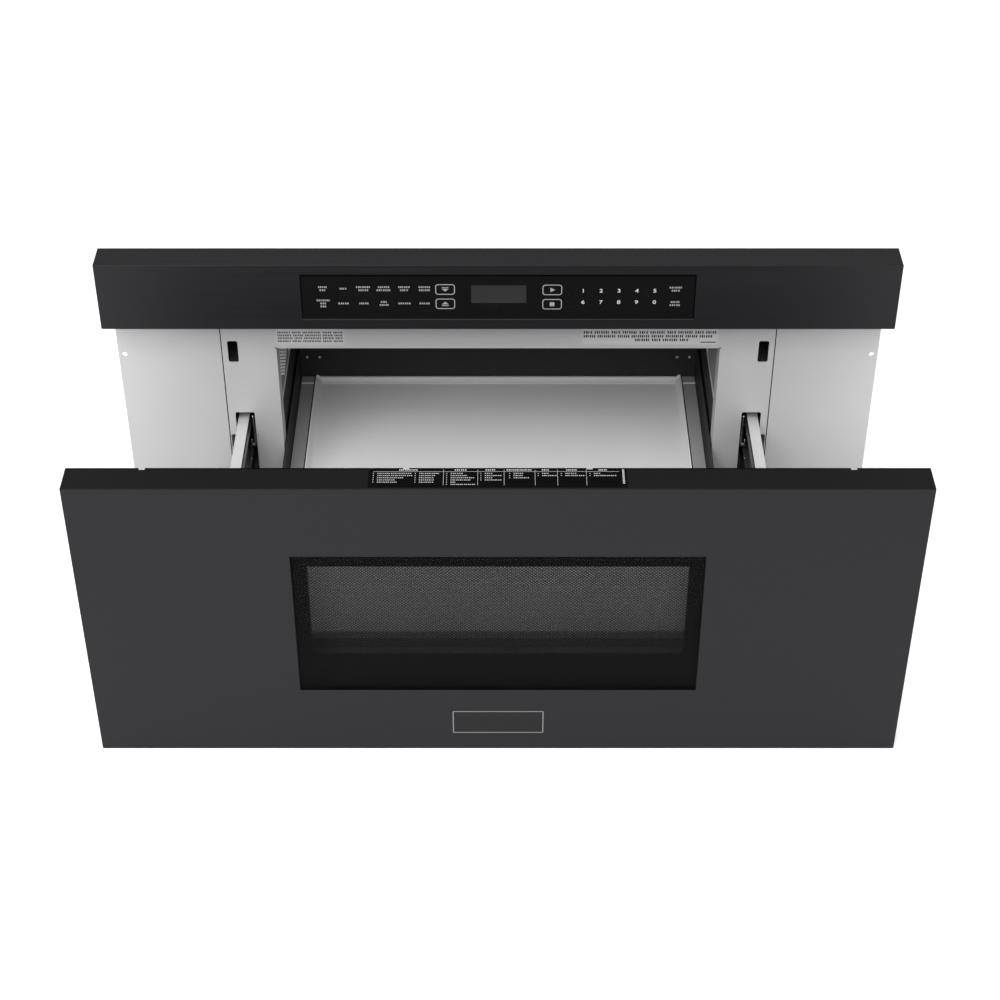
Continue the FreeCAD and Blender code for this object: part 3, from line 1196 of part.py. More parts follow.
def make_fan():
    """The cooling fan on the rear panel: ring and plate, blade, and the motor on its arms."""
    half = "fan_r + fan_ring_play + fan_ring_t"
    ring_in = "fan_r + fan_ring_play"
    across = ("fan_x - (%s)" % half, "fan_x + %s" % half)
    high = ("fan_z - (%s)" % half, "fan_z + %s" % half)
    plate = span_box(across, (FAN_BACK + " - fan_plate_t", FAN_BACK), high)
    ring = cylinder(("fan_x", FAN_FRONT, "fan_z"), half, "fan_housing_d", "Y")
    hole = cylinder(("fan_x", FAN_FRONT + " - over", "fan_z"), ring_in, "fan_housing_d + 2 * over", "Y")
    node(cut(join(plate, ring), hole), "fan_housing")

    blade_back = FAN_MID
    blade_front = "%s - fan_blade_d" % blade_back
    hub = cylinder(("fan_x", blade_front, "fan_z"), "fan_hub_r", "fan_blade_d", "Y")
    shaft = cylinder(("fan_x", FAN_FRONT + " - fan_arm_w / 2 - fan_motor_d / 2", "fan_z"), "fan_shaft_r",
                     "(%s) - (%s - fan_arm_w / 2 - fan_motor_d / 2)" % (blade_front, FAN_FRONT), "Y")
    count = int(number("fan_blades"))
    root = number("fan_hub_r - fan_blade_t")
    reach = number("fan_r") - root
    depth = number("fan_blade_d")
    slabs = []
    for index in range(count):
        corner = FreeCAD.Vector(root, -number("fan_blade_t") / 2, -depth / 2)
        slab = Part.makeBox(reach, number("fan_blade_t"), depth, corner)
        slab.rotate(FreeCAD.Vector(), FreeCAD.Vector(1, 0, 0), FAN_PITCH)
        slab.rotate(FreeCAD.Vector(), FreeCAD.Vector(0, 0, 1), 360 * index / count)
        slab.rotate(FreeCAD.Vector(), FreeCAD.Vector(1, 0, 0), -90)
        slabs.append(shaped(slab, "fan_x", "%s - fan_blade_d / 2" % blade_back, "fan_z"))
    node(join(hub, *slabs, shaft), "fan_blade")

    motor_back = FAN_FRONT
    arm = "fan_arm_w / 2"
    rim = "fan_r + fan_ring_play + fan_ring_t"
    arms = [
        span_box(("fan_x - (%s)" % rim, "fan_x + %s" % rim), (motor_back + " - " + arm, motor_back),
                 ("fan_z - fan_arm_w / 2", "fan_z + fan_arm_w / 2")),
        span_box(("fan_x - fan_arm_w / 2", "fan_x + fan_arm_w / 2"), (motor_back + " - " + arm, motor_back),
                 ("fan_z - (%s)" % rim, "fan_z + %s" % rim)),
    ]
    can = cylinder(("fan_x", "%s - %s - fan_motor_d" % (motor_back, arm), "fan_z"), "fan_motor_r",
                   "fan_motor_d + " + arm, "Y")
    bore = cylinder(("fan_x", "%s - %s - fan_motor_d / 2 - face_play" % (motor_back, arm), "fan_z"),
                    "fan_shaft_r + run_play", "fan_motor_d + fan_arm_w", "Y")
    node(cut(join(*arms, can), bore), "fan_motor")


def make_air_duct():
    """The duct that leads the fan's air from its motor to the magnetron's fins."""
    top = "%s - duct_top_drop" % CAVITY_ROOF
    low = "%s - magnetron_hh" % CAVITY_ROOF
    left = "magnetron_w / 2 + cutout_hh + duct_t"
    right = "fan_x + fan_motor_r"
    front = MAGNETRON_Y + " - magnetron_d / 2"
    rear = MAGNETRON_Y + " + magnetron_d / 2"
    outer = span_box((left, right), (front, rear), (low, top))
    inner = span_box((left + " - over", right + " - duct_t"), (front + " + duct_t", rear + " + over"),
                     (low + " + duct_t", top + " - duct_t"))
    hood = cut(outer, inner)
    leg = span_box((right + " - 3 * duct_t", right), (front, front + " + 3 * duct_t"), ("base_t", low))
    node(join(hood, leg), "air_duct")


# ---------------------------------------------------------------- electronics

def board_on_posts(x, y, z, width, depth, parts):
    """A circuit board on four standoffs, with its larger parts as blocks."""
    inset = "2 * standoff_r"
    top = "%s + standoff_hh + board_t" % z
    pieces = [box((x, y, "%s + standoff_hh" % z), (width, depth, "board_t"))]
    for px in ("%s + %s" % (x, inset), "%s + %s - %s" % (x, width, inset)):
        for py in ("%s + %s" % (y, inset), "%s + %s - %s" % (y, depth, inset)):
            pieces.append(cylinder((px, py, z), "standoff_r", "standoff_hh"))
    for share_x, share_y, size_x, size_y, rise in parts:
        pieces.append(box(("%s + %s * %s" % (x, width, share_x), "%s + %s * %s" % (y, depth, share_y), top),
                          ("%s * %s" % (width, size_x), "%s * %s" % (depth, size_y), rise)))
    return join(*pieces)


def make_electronics():
    """The power board, the noise filter, the oven lamp and the steam sensor on the cavity's roof."""
    parts = [(0.1, 0.12, 0.3, 0.28, "4 * standoff_hh"), (0.55, 0.15, 0.14, 0.16, "3 * standoff_hh"),
             (0.55, 0.45, 0.14, 0.16, "3 * standoff_hh"), (0.15, 0.6, 0.2, 0.2, "2 * standoff_hh")]
    board = board_on_posts("power_board_x", "power_board_y", CAVITY_ROOF, "power_board_w",
                           "power_board_d", parts)
    node(board, "power_board")

    parts = [(0.12, 0.2, 0.34, 0.5, "3 * standoff_hh"), (0.6, 0.2, 0.25, 0.3, "2 * standoff_hh")]
    board = board_on_posts("inlet_x", "cavity_d - noise_board_d - standoff_r", CAVITY_ROOF, "noise_board_w",
                           "noise_board_d", parts)
    node(board, "noise_filter")

    half = "lamp_w / 2"
    shell = span_box(("lamp_x - " + half, "lamp_x + " + half), (LAMP_Y + " - " + half, LAMP_Y + " + " + half),
                     (CAVITY_ROOF, CAVITY_ROOF + " + lamp_hh"))
    room = span_box(("lamp_x - %s + duct_t" % half, "lamp_x + %s - duct_t" % half),
                    ("%s - %s + duct_t" % (LAMP_Y, half), "%s + %s - duct_t" % (LAMP_Y, half)),
                    (CAVITY_ROOF + " - over", CAVITY_ROOF + " + lamp_hh - duct_t"))
    bulb_z = CAVITY_ROOF + " + lamp_hh - duct_t - bulb_hh"
    bulb = cylinder(("lamp_x", LAMP_Y, bulb_z), "bulb_r", "bulb_hh")
    node(join(cut(shell, room), bulb), "oven_lamp")

    base = span_box(("sensor_x - sensor_w / 2", "sensor_x + sensor_w / 2"),
                    ("feed_y - sensor_w / 2", "feed_y + sensor_w / 2"),
                    (CAVITY_ROOF, CAVITY_ROOF + " + sensor_hh / 2"))
    can = cylinder(("sensor_x", "feed_y", CAVITY_ROOF + " + sensor_hh / 2"), "sensor_r", "sensor_hh / 2")
    node(join(base, can), "steam_sensor")


# ---------------------------------------------------------------- inlet and screws

def make_inlet():
    """The bush in the rear panel that a supply cord would pass through."""
    back = "chassis_d + inlet_flange_t"
    front = REAR_FACE + " - inlet_flange_t"
    body = cylinder(("inlet_x", front, INLET_Z), "inlet_body_r", "(%s) - (%s)" % (back, front), "Y")
    flanges = [cylinder(("inlet_x", y, INLET_Z), "inlet_flange_r", "inlet_flange_t", "Y")
               for y in (front, "chassis_d")]
    hole = cylinder(("inlet_x", front + " - over", INLET_Z), "inlet_r",
                    "(%s) - (%s) + 2 * over" % (back, front), "Y")
    node(cut(join(body, *flanges), hole), "supply_inlet")


def make_screws():
    """The sheet screws that hold the rear panel."""
    screws = []
    for x, z in rear_screw_places():
        head = cylinder((x, "chassis_d", z), "screw_head_r", "screw_head_hh", "Y")
        shank = cylinder((x, "chassis_d - screw_shank", z), "screw_r", "screw_shank", "Y")
        screws.append(join(head, shank))
    node(join(*screws), "rear_screws")


# ---------------------------------------------------------------- the whole

def build():
    """Makes every sub-part, checks it and writes it."""
    make_base_pan()
    make_outer_cover()
    make_rear_panel()
    make_front_plate()
    make_wings()
    make_cavity()
    make_vent_plates()
    make_stirrer_cover()
    make_control_panel()
    make_drawer_skin()
    make_window()
    make_badge()
    make_latch_hooks()
    make_drawer_pan()
    make_tray()
    make_slides()
    make_drive()
    make_interlocks()
    make_waveguide()
    make_stirrer()
    make_magnetron()
    make_high_voltage()
    make_fan()
    make_air_duct()
    make_electronics()
    make_inlet()
    make_screws()
    doc.recompute()

    for thing in doc.Objects:
        if {"Invalid", "Error"} & set(thing.State):
            raise RuntimeError("%s (%s) failed to recompute" % (thing.Label, thing.Name))
    for thing in NODES:
        if thing.Shape.isNull() or not thing.Shape.isValid() or not thing.Shape.Solids:
            raise RuntimeError("%s has no valid solid" % thing.Label)

    os.makedirs("parts", exist_ok=True)
    for thing in NODES:
        thing.Shape.exportStep("parts/%s.step" % thing.Label)
    print(len(NODES), "sub-parts written")


build()
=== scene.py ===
import json
import math

import bmesh
import bpy
from mathutils import Matrix, Vector


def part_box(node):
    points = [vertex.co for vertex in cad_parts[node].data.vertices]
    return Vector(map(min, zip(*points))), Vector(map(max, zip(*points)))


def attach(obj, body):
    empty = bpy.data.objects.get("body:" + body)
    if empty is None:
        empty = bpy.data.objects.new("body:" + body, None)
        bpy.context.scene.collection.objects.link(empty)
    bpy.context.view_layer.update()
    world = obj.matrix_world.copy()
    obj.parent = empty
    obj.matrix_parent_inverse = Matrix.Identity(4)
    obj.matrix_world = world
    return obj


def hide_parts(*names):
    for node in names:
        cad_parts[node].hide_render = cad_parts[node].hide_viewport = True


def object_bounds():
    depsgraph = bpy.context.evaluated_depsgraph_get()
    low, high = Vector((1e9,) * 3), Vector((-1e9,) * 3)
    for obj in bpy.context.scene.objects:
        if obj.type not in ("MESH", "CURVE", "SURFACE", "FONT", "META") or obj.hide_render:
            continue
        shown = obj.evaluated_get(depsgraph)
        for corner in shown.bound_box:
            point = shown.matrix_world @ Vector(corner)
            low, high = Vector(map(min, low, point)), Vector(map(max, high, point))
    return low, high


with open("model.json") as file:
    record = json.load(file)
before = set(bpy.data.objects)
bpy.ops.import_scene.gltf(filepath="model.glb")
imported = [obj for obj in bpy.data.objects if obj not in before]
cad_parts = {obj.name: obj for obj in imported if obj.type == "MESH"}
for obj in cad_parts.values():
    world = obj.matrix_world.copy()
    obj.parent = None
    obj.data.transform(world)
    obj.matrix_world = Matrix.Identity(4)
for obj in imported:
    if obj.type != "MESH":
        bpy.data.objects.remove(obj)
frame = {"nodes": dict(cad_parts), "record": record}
cad_low, cad_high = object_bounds()

# The looks of a microwave drawer. Shapes are drawn in millimetres of the part's frame:
# X to the right as seen from the front, Y to the back and Z up.
MM = 0.001


def box_mm(node):
    """A CAD node's lowest and highest corners at rest, in millimetres."""
    low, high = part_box(node)
    return low / MM, high / MM


GLASS_LOW, GLASS_HIGH = box_mm("touch_glass")
PANEL_HIGH = box_mm("panel_skin")[1]
SKIN_HIGH = box_mm("drawer_front_skin")[1]
WINDOW_LOW, WINDOW_HIGH = box_mm("window_glass")
SCREEN_LOW, SCREEN_HIGH = box_mm("perforated_screen")
BADGE_LOW, BADGE_HIGH = box_mm("badge_plate")
TRAY_LOW, TRAY_HIGH = box_mm("glass_tray")
PAN_HIGH = box_mm("drawer_pan")[1]
BRACKET_LOW, BRACKET_HIGH = box_mm("rail_bracket_right")
PLATE_LOW, PLATE_HIGH = box_mm("front_plate")
WING_LOW, WING_HIGH = box_mm("wing_left")
VENT_LOW, VENT_HIGH = box_mm("vent_plates")
CASE_LOW, CASE_HIGH = box_mm("outer_cover")
REAR_LOW, REAR_HIGH = box_mm("rear_screws")


# ---------------------------------------------------------------- materials

NOISE_LOW, NOISE_HIGH = 0.3, 0.7
BANDS_PER_SCALE = 20 / (2 * math.pi)


class Finish:
    """One node material. Its patterns lie in the part's frame and their sizes are in metres."""

    def __init__(self, name, colour, roughness, metallic=0.0, specular=0.5, alpha=1.0):
        self.material = bpy.data.materials.new(name)
        self.material.use_nodes = True
        self.tree = self.material.node_tree
        self.shader = self.tree.nodes["Principled BSDF"]
        self.colour = colour
        self.set("Base Color", (*colour, 1.0))
        self.set("Roughness", roughness)
        self.set("Metallic", metallic)
        self.set("Specular IOR Level", specular)
        self.set("Alpha", alpha)
        self.place = self.add("ShaderNodeTexCoord").outputs["Object"]

    def set(self, socket, value):
        """Sets a number or colour of the shader."""
        self.shader.inputs[socket].default_value = value

    def add(self, kind, **settings):
        """A new node of the material."""
        node = self.tree.nodes.new(kind)
        for name, value in settings.items():
            setattr(node, name, value)
        return node

    def wire(self, source, target):
        """Leads one node's output to another's input."""
        self.tree.links.new(source, target)

    def stretched(self, waves):
        """The place in the part's frame, scaled along each axis."""
        mapping = self.add("ShaderNodeMapping")
        mapping.inputs["Scale"].default_value = waves
        self.wire(self.place, mapping.inputs["Vector"])
        return mapping.outputs["Vector"]

    def noise(self, waves, detail=2.0):
        """Noise from 0 to 1, with so many waves to a metre along each axis."""
        node = self.add("ShaderNodeTexNoise")
        node.inputs["Scale"].default_value = 1.0
        node.inputs["Detail"].default_value = detail
        self.wire(self.stretched(waves), node.inputs["Vector"])
        return self.spread(node.outputs["Fac"])

    def cells(self, waves):
        """A random value from 0 to 1 for each cell of a broken pattern."""
        node = self.add("ShaderNodeTexVoronoi")
        node.inputs["Scale"].default_value = 1.0
        self.wire(self.stretched(waves), node.inputs["Vector"])
        split = self.add("ShaderNodeSeparateColor")
        self.wire(node.outputs["Color"], split.inputs["Color"])
        return split.outputs["Red"]

    def bands(self, axis, waves):
        """Even stripes from 0 to 1 across an axis."""
        node = self.add("ShaderNodeTexWave", bands_direction=axis)
        node.inputs["Scale"].default_value = waves / BANDS_PER_SCALE
        self.wire(self.place, node.inputs["Vector"])
        return node.outputs["Fac"]

    def spread(self, value):
        """The middle range of a noise, spread from 0 to 1."""
        node = self.add("ShaderNodeMapRange")
        node.inputs["From Min"].default_value = NOISE_LOW
        node.inputs["From Max"].default_value = NOISE_HIGH
        self.wire(value, node.inputs["Value"])
        return node.outputs["Result"]

    def ranged(self, value, low, high):
        """A value from 0 to 1, spread from low to high."""
        node = self.add("ShaderNodeMapRange")
        node.inputs["To Min"].default_value = low
        node.inputs["To Max"].default_value = high
        self.wire(value, node.inputs["Value"])
        return node.outputs["Result"]

    def tint(self, value, dark, light):
        """Base colour from dark to light shares of the finish's own colour."""
        node = self.add("ShaderNodeMix", data_type="RGBA")
        ends = [socket for socket in node.inputs if socket.type == "RGBA"]
        for socket, share in zip(ends, (dark, light)):
            socket.default_value = (*[part * share for part in self.colour], 1.0)
        self.wire(value, node.inputs["Factor"])
        self.tinted = [socket for socket in node.outputs if socket.type == "RGBA"][0]
        self.wire(self.tinted, self.shader.inputs["Base Color"])

    def step(self, axis, start, end, share):
        """Fades the tinted colour to a share of itself between two places along an axis, in millimetres."""
        parts = self.add("ShaderNodeSeparateXYZ")
        self.wire(self.place, parts.inputs["Vector"])
        ramp = self.add("ShaderNodeMapRange")
        ramp.inputs["From Min"].default_value = start * MM
        ramp.inputs["From Max"].default_value = end * MM
        ramp.inputs["To Min"].default_value = 1.0
        ramp.inputs["To Max"].default_value = share
        self.wire(parts.outputs[axis], ramp.inputs["Value"])
        scaled = self.add("ShaderNodeVectorMath", operation="SCALE")
        self.wire(self.tinted, scaled.inputs["Vector"])
        self.wire(ramp.outputs["Result"], scaled.inputs["Scale"])
        self.tinted = scaled.outputs["Vector"]
        self.wire(self.tinted, self.shader.inputs["Base Color"])

    def rough(self, value, low, high):
        """Roughness from low to high."""
        self.wire(self.ranged(value, low, high), self.shader.inputs["Roughness"])

    def relief(self, value, depth):
        """Bumps up to that depth, in metres."""
        node = self.add("ShaderNodeBump")
        node.inputs["Distance"].default_value = depth
        self.wire(value, node.inputs["Height"])
        self.wire(node.outputs["Normal"], self.shader.inputs["Normal"])


def brushed(name, colour, roughness, grain, metallic=1.0, specular=0.5):
    """Brushed or rolled sheet metal: fine streaks along the axis whose wave count is least."""
    finish = Finish(name, colour, roughness, metallic, specular)
    streaks = finish.noise(grain, 3.0)
    finish.tint(streaks, 0.95, 1.05)
    finish.rough(streaks, roughness - 0.05, roughness + 0.06)
    return finish


def painted(name, colour, roughness, metallic=0.0, peel=0.00002, specular=0.5):
    """Sprayed coating over sheet, with a faint orange peel."""
    finish = Finish(name, colour, roughness, metallic, specular)
    peel_noise = finish.noise((420, 420, 420))
    cloud = finish.noise((9, 9, 9))
    finish.tint(cloud, 0.97, 1.03)
    finish.rough(cloud, roughness - 0.03, roughness + 0.03)
    finish.relief(peel_noise, peel)
    return finish


def moulded(name, colour, roughness=0.5):
    """Moulded plastic with a fine spark-eroded grain."""
    finish = Finish(name, colour, roughness)
    grain = finish.noise((1500, 1500, 1500))
    finish.tint(finish.noise((30, 30, 30)), 0.95, 1.05)
    finish.rough(grain, roughness - 0.06, roughness + 0.06)
    finish.relief(grain, 0.00003)
    return finish


GRAPHITE = (0.0160, 0.0161, 0.0184)
SCREEN_BORDER, SCREEN_FOOT = 7.0, 12.0
# where a finish changes shade along an axis: painted shade on the two top flanges and up the tray's rear
# wall, painted light on the cover's top and on the screen's holed part
DRAWER_FLANGE_SHADE = (SKIN_HIGH.z - 0.9, SKIN_HIGH.z - 0.2)
PANEL_FLANGE_SHADE = (PANEL_HIGH.z - 0.7, PANEL_HIGH.z - 0.1)
COVER_TOP_LIGHT = (CASE_HIGH.z - 0.8, CASE_HIGH.z - 0.2)
TRAY_REAR_SHADE = (TRAY_HIGH.y - 5.9, TRAY_HIGH.y - 5.1)
SCREEN_LIGHT_STEP = (SCREEN_LOW.z + SCREEN_FOOT - 0.6, SCREEN_LOW.z + SCREEN_FOOT)


def front_metal(name="front_metal", share=1.0):
    """Dark graphite steel, brushed along X."""
    colour = [part * share for part in GRAPHITE]
    return brushed(name, colour, 0.46, (3, 300, 300), metallic=0.45, specular=0.2)


def drawer_metal():
    """The same steel at a darker tone on the drawer's front, with painted shade on its top flange."""
    finish = front_metal("drawer_metal", 0.72)
    # painted shade: the top flange is darkened to a small share of the face's colour
    finish.step("Z", *DRAWER_FLANGE_SHADE, 0.15)
    return finish


def panel_metal():
    """The same steel on the control panel, with painted shade on its top flange."""
    finish = front_metal("panel_metal")
    # painted shade: the top flange is darkened to a share of the face's colour
    finish.step("Z", *PANEL_FLANGE_SHADE, 0.4)
    return finish


def plate_steel():
    """Light satin coating over sheet."""
    return painted("plate_steel", (0.43, 0.43, 0.43), 0.42, metallic=0.2)


def zinc_sheet():
    """Galvanised sheet with a fine pale spangle, and painted light that brightens the cover's top."""
    finish = Finish("zinc_sheet", (0.52, 0.52, 0.53), 0.5, 0.35)
    spangle = finish.cells((160, 160, 160))
    finish.tint(spangle, 0.95, 1.04)
    finish.rough(spangle, 0.44, 0.58)
    # painted light: the cover's top is made brighter than its sides
    finish.step("Z", *COVER_TOP_LIGHT, 1.45)
    return finish


def cavity_black():
    """The cavity's dull black coating."""
    return painted("cavity_black", (0.028, 0.028, 0.029), 0.55, specular=0.05)


def black_glass():
    """Black glass with a faint smudge."""
    finish = Finish("black_glass", (0.0058, 0.0058, 0.0061), 0.08, specular=0.05)
    smudge = finish.noise((14, 14, 14), 4.0)
    finish.rough(smudge, 0.06, 0.14)
    return finish


def window_glass():
    """Dark glass that the screen behind it shows through."""
    finish = Finish("window_glass", (0.003, 0.003, 0.0033), 0.05, specular=0.04, alpha=0.22)
    smudge = finish.noise((14, 14, 14), 4.0)
    finish.rough(smudge, 0.04, 0.10)
    return finish


def tray_ceramic():
    """Light glazed ceramic, with painted shade that darkens the tray's rear wall."""
    finish = Finish("tray_ceramic", (0.60, 0.60, 0.60), 0.34, specular=0.5)
    body = finish.noise((12, 12, 12), 3.0)
    finish.tint(body, 0.985, 1.015)
    finish.rough(body, 0.30, 0.38)
    # painted shade: the tray's rear wall is darkened
    finish.step("Y", *TRAY_REAR_SHADE, 0.74)
    finish.relief(finish.noise((260, 260, 260)), 0.00001)
    return finish


def screen_steel():
    """The perforated sheet, with painted light that makes it lighter above its plain foot."""
    finish = painted("screen_steel", (0.029, 0.029, 0.030), 0.5, specular=0.2)
    # painted light: the holed part of the sheet is made lighter than its foot
    finish.step("Z", *SCREEN_LIGHT_STEP, 1.7)
    return finish


def core_steel():
    """Stacked laminations of a transformer core."""
    finish = Finish("core_steel", (0.16, 0.155, 0.15), 0.5, 0.8)
    sheets = finish.bands("X", 1200)
    finish.tint(sheets, 0.55, 1.25)
    finish.relief(sheets, 0.0001)
    return finish


def board_green():
    """A circuit board: green mask over copper tracks."""
    finish = Finish("board_green", (0.015, 0.085, 0.035), 0.35)
    tracks = finish.cells((220, 220, 220))
    finish.tint(tracks, 0.75, 1.35)
    return finish


def mica():
    """Pressed flakes of mica."""
    finish = Finish("mica", (0.47, 0.42, 0.33), 0.38)
    flakes = finish.cells((160, 160, 160))
    finish.tint(flakes, 0.86, 1.12)
    finish.rough(flakes, 0.28, 0.5)
    return finish


FINISHES = {
    "front_metal": front_metal(),
    "plate_steel": plate_steel(),
    "zinc_sheet": zinc_sheet(),
    "cavity_black": cavity_black(),
    "black_glass": black_glass(),
    "window_glass": window_glass(),
    "tray_ceramic": tray_ceramic(),
    # painted shade: the slides' zinc steel is darkened for the shade inside the slots
    "slide_steel": brushed("slide_steel", (0.20, 0.20, 0.205), 0.38, (900, 12, 900)),
    "bracket_steel": brushed("bracket_steel", (0.44, 0.44, 0.44), 0.45, (900, 10, 900), metallic=0.2),
    "screen_steel": screen_steel(),
    "black_plastic": moulded("black_plastic", (0.022, 0.022, 0.024)),
    "white_plastic": moulded("white_plastic", (0.74, 0.74, 0.72)),
    "badge_metal": brushed("badge_metal", (0.22, 0.22, 0.23), 0.4, (10, 900, 900)),
    "board_green": board_green(),
    "motor_steel": brushed("motor_steel", (0.42, 0.42, 0.43), 0.42, (900, 30, 30)),
    "magnetron_metal": brushed("magnetron_metal", (0.55, 0.53, 0.50), 0.38, (40, 40, 900)),
    "core_steel": core_steel(),
    "mica": mica(),
    "screw_zinc": brushed("screw_zinc", (0.62, 0.62, 0.60), 0.3, (600, 600, 600)),
}


def printed(name, colour, specular=0.5):
    """A printed or filmed surface: nearly flat, with a faint texture."""
    return painted(name, colour, 0.5, peel=0.000005, specular=specular)


LEGEND = printed("legend_print", (0.27, 0.27, 0.27))
BRIGHT_PRINT = printed("bright_print", (0.52, 0.52, 0.52))
DIM_PRINT = printed("dim_print", (0.30, 0.30, 0.30))
OUTLINE = printed("outline_print", (0.32, 0.32, 0.33))
LABEL = printed("label_film", (0.45, 0.45, 0.45))
# dark print, also used as painted shade in the screws' cross recesses
DARK_PRINT_AND_SHADE = printed("dark_print_and_shade", (0.012, 0.012, 0.012), 0.1)
CARD = printed("menu_card", (0.0022, 0.0022, 0.0022), 0.01)
# painted shadow: on the touch glass's edge, the drawer flange's back edge and the wing seams
PAINTED_SHADOW = printed("painted_shadow", (0.0012, 0.0012, 0.0012), 0.02)
BADGE_FIELD = printed("badge_field", (0.011, 0.011, 0.0115), 0.1)
GREY_TRIM = painted("grey_trim", (0.28, 0.28, 0.28), 0.45)
# painted highlight: on the tray's folds and the ledges' step lips
PAINTED_HIGHLIGHT = painted("highlight_paint", (0.74, 0.74, 0.74), 0.35)
# pale trim: painted highlights on the vent plates' beads, and the pan rivets' own pale colour
PALE_TRIM_AND_HIGHLIGHT = painted("pale_trim_and_highlight", (0.46, 0.46, 0.46), 0.42)
VENT_GREY = painted("vent_grey", (0.20, 0.20, 0.20), 0.6, specular=0.0)
# painted light: the louvre slots are pale as light shining through them
LOUVRE = painted("louvre_painted_light", (0.80, 0.80, 0.80), 0.6, specular=0.0)
DISPLAY_SHADE = printed("display_shade", (0.016, 0.016, 0.0165))
DISPLAY = Finish("display_window", (0.025, 0.025, 0.026), 0.12, specular=0.12)
DISPLAY.tint(DISPLAY.noise((40, 40, 40)), 0.95, 1.05)
FRIT = Finish("window_frit", (0.0025, 0.0025, 0.0027), 0.5, specular=0.03)
FRIT.tint(FRIT.noise((60, 60, 60)), 0.95, 1.05)


# ---------------------------------------------------------------- mesh helpers

# from a place on a face and its level to X, Y and Z, and back
ORDER = {
    "X": lambda u, v, level: (level, u, v),
    "Y": lambda u, v, level: (u, level, v),
    "Z": lambda u, v, level: (u, v, level),
}
FACE_AXES = {"X": (1, 2, 0), "Y": (0, 2, 1), "Z": (0, 1, 2)}


def oblong(u0, u1, v0, v1):
    """A rectangle's corners."""
    return [(u0, v0), (u1, v0), (u1, v1), (u0, v1)]


def rounded(u0, u1, v0, v1, radius, steps=5):
    """A rectangle's outline with round corners."""
    points = []
    for cu, cv, start in ((u1, v0, -90), (u1, v1, 0), (u0, v1, 90), (u0, v0, 180)):
        cu += -radius if cu == u1 else radius
        cv += -radius if cv == v1 else radius
        for step in range(steps + 1):
            angle = math.radians(start + 90 * step / steps)
            points.append((cu + radius * math.cos(angle), cv + radius * math.sin(angle)))
    return points


def circle(cu, cv, radius, sides=24):
    """A circle's outline."""
    turns = [2 * math.pi * side / sides for side in range(sides)]
    return [(cu + radius * math.cos(turn), cv + radius * math.sin(turn)) for turn in turns]


def loop(mesh, outline, level, axis):
    """New vertices round an outline at a level along an axis."""
    return [mesh.verts.new(ORDER[axis](u, v, level)) for u, v in outline]


def skin(mesh, lower, upper):
    """Faces between two loops with as many vertices."""
    count = len(lower)
    for index in range(count):
        after = (index + 1) % count
        mesh.faces.new((lower[index], lower[after], upper[after], upper[index]))


def prism(mesh, outline, low, high, axis="Y"):
    """A solid over an outline, between two levels along an axis."""
    bottom = loop(mesh, outline, low, axis)
    top = loop(mesh, outline, high, axis)
    skin(mesh, bottom, top)
    mesh.faces.new(bottom)
    mesh.faces.new(top)


def band(mesh, outer, inner, low, high, axis="Y"):
    """A frame between two outlines with as many points, between two levels along an axis."""
    loops = [loop(mesh, outer, low, axis), loop(mesh, outer, high, axis),
             loop(mesh, inner, high, axis), loop(mesh, inner, low, axis)]
    for index, lower in enumerate(loops):
        skin(mesh, lower, loops[(index + 1) % len(loops)])


WELD_REACH = 0.002
SHARP_ANGLE = 40
FOLD_R = 0.7


def piece(name, mesh, finish, body, replaces=(), smooth=False):
    """Makes a piece of a mesh in millimetres. It rides on a body and may stand for CAD nodes."""
    bmesh.ops.scale(mesh, vec=(MM, MM, MM), verts=mesh.verts)
    bmesh.ops.recalc_face_normals(mesh, faces=mesh.faces)
    data = bpy.data.meshes.new(name)
    mesh.to_mesh(data)
    mesh.free()
    if smooth:
        data.shade_smooth()
    data.materials.append(finish.material)
    made = bpy.data.objects.new(name, data)
    bpy.context.scene.collection.objects.link(made)
    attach(made, body)
    if replaces:
        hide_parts(*replaces)
    return made


def soften(made, width):
    """Rounds an object's sharp edges by a width in millimetres."""
    weld = made.modifiers.new("weld", "WELD")
    weld.merge_threshold = WELD_REACH * MM
    edge = made.modifiers.new("edge", "BEVEL")
    edge.width = width * MM
    edge.segments = 3
    edge.limit_method = "ANGLE"
    edge.angle_limit = math.radians(SHARP_ANGLE)
    edge.harden_normals = False


# ---------------------------------------------------------------- strokes and screws

PRINT_T = 0.06
STROKE_SHARES = (0.60, 0.70, 0.48, 0.64)
LETTER_PITCH = 1.9
HEAD_RINGS = ((1.0, 0.0), (1.0, 0.35), (0.86, 0.75), (0.5, 1.0))
CROSS_REACH, CROSS_W = 1.9, 0.8
CROSS_SINK, CROSS_RISE = 0.02, 0.06


def print_on(low):
    """The two levels of a print on a face whose outside looks to -Y."""
    return low - PRINT_T, low


def add_word(mesh, left, right, level, height, levels, axis="Y", pitch=LETTER_PITCH):
    """A run of small blocks that stands for a word."""
    count = max(1, round((right - left) / pitch))
    step = (right - left) / count
    for index in range(count):
        start = left + index * step
        width = step * STROKE_SHARES[index % len(STROKE_SHARES)]
        prism(mesh, oblong(start, start + width, level - height / 2, level + height / 2), *levels, axis)


def add_words(mesh, middle, level, widths, height, gap, levels, axis="Y"):
    """Centred words, one to a line, from the top down."""
    for row, width in enumerate(widths):
        line = level + ((len(widths) - 1) / 2 - row) * gap
        add_word(mesh, middle - width / 2, middle + width / 2, line, height, levels, axis)


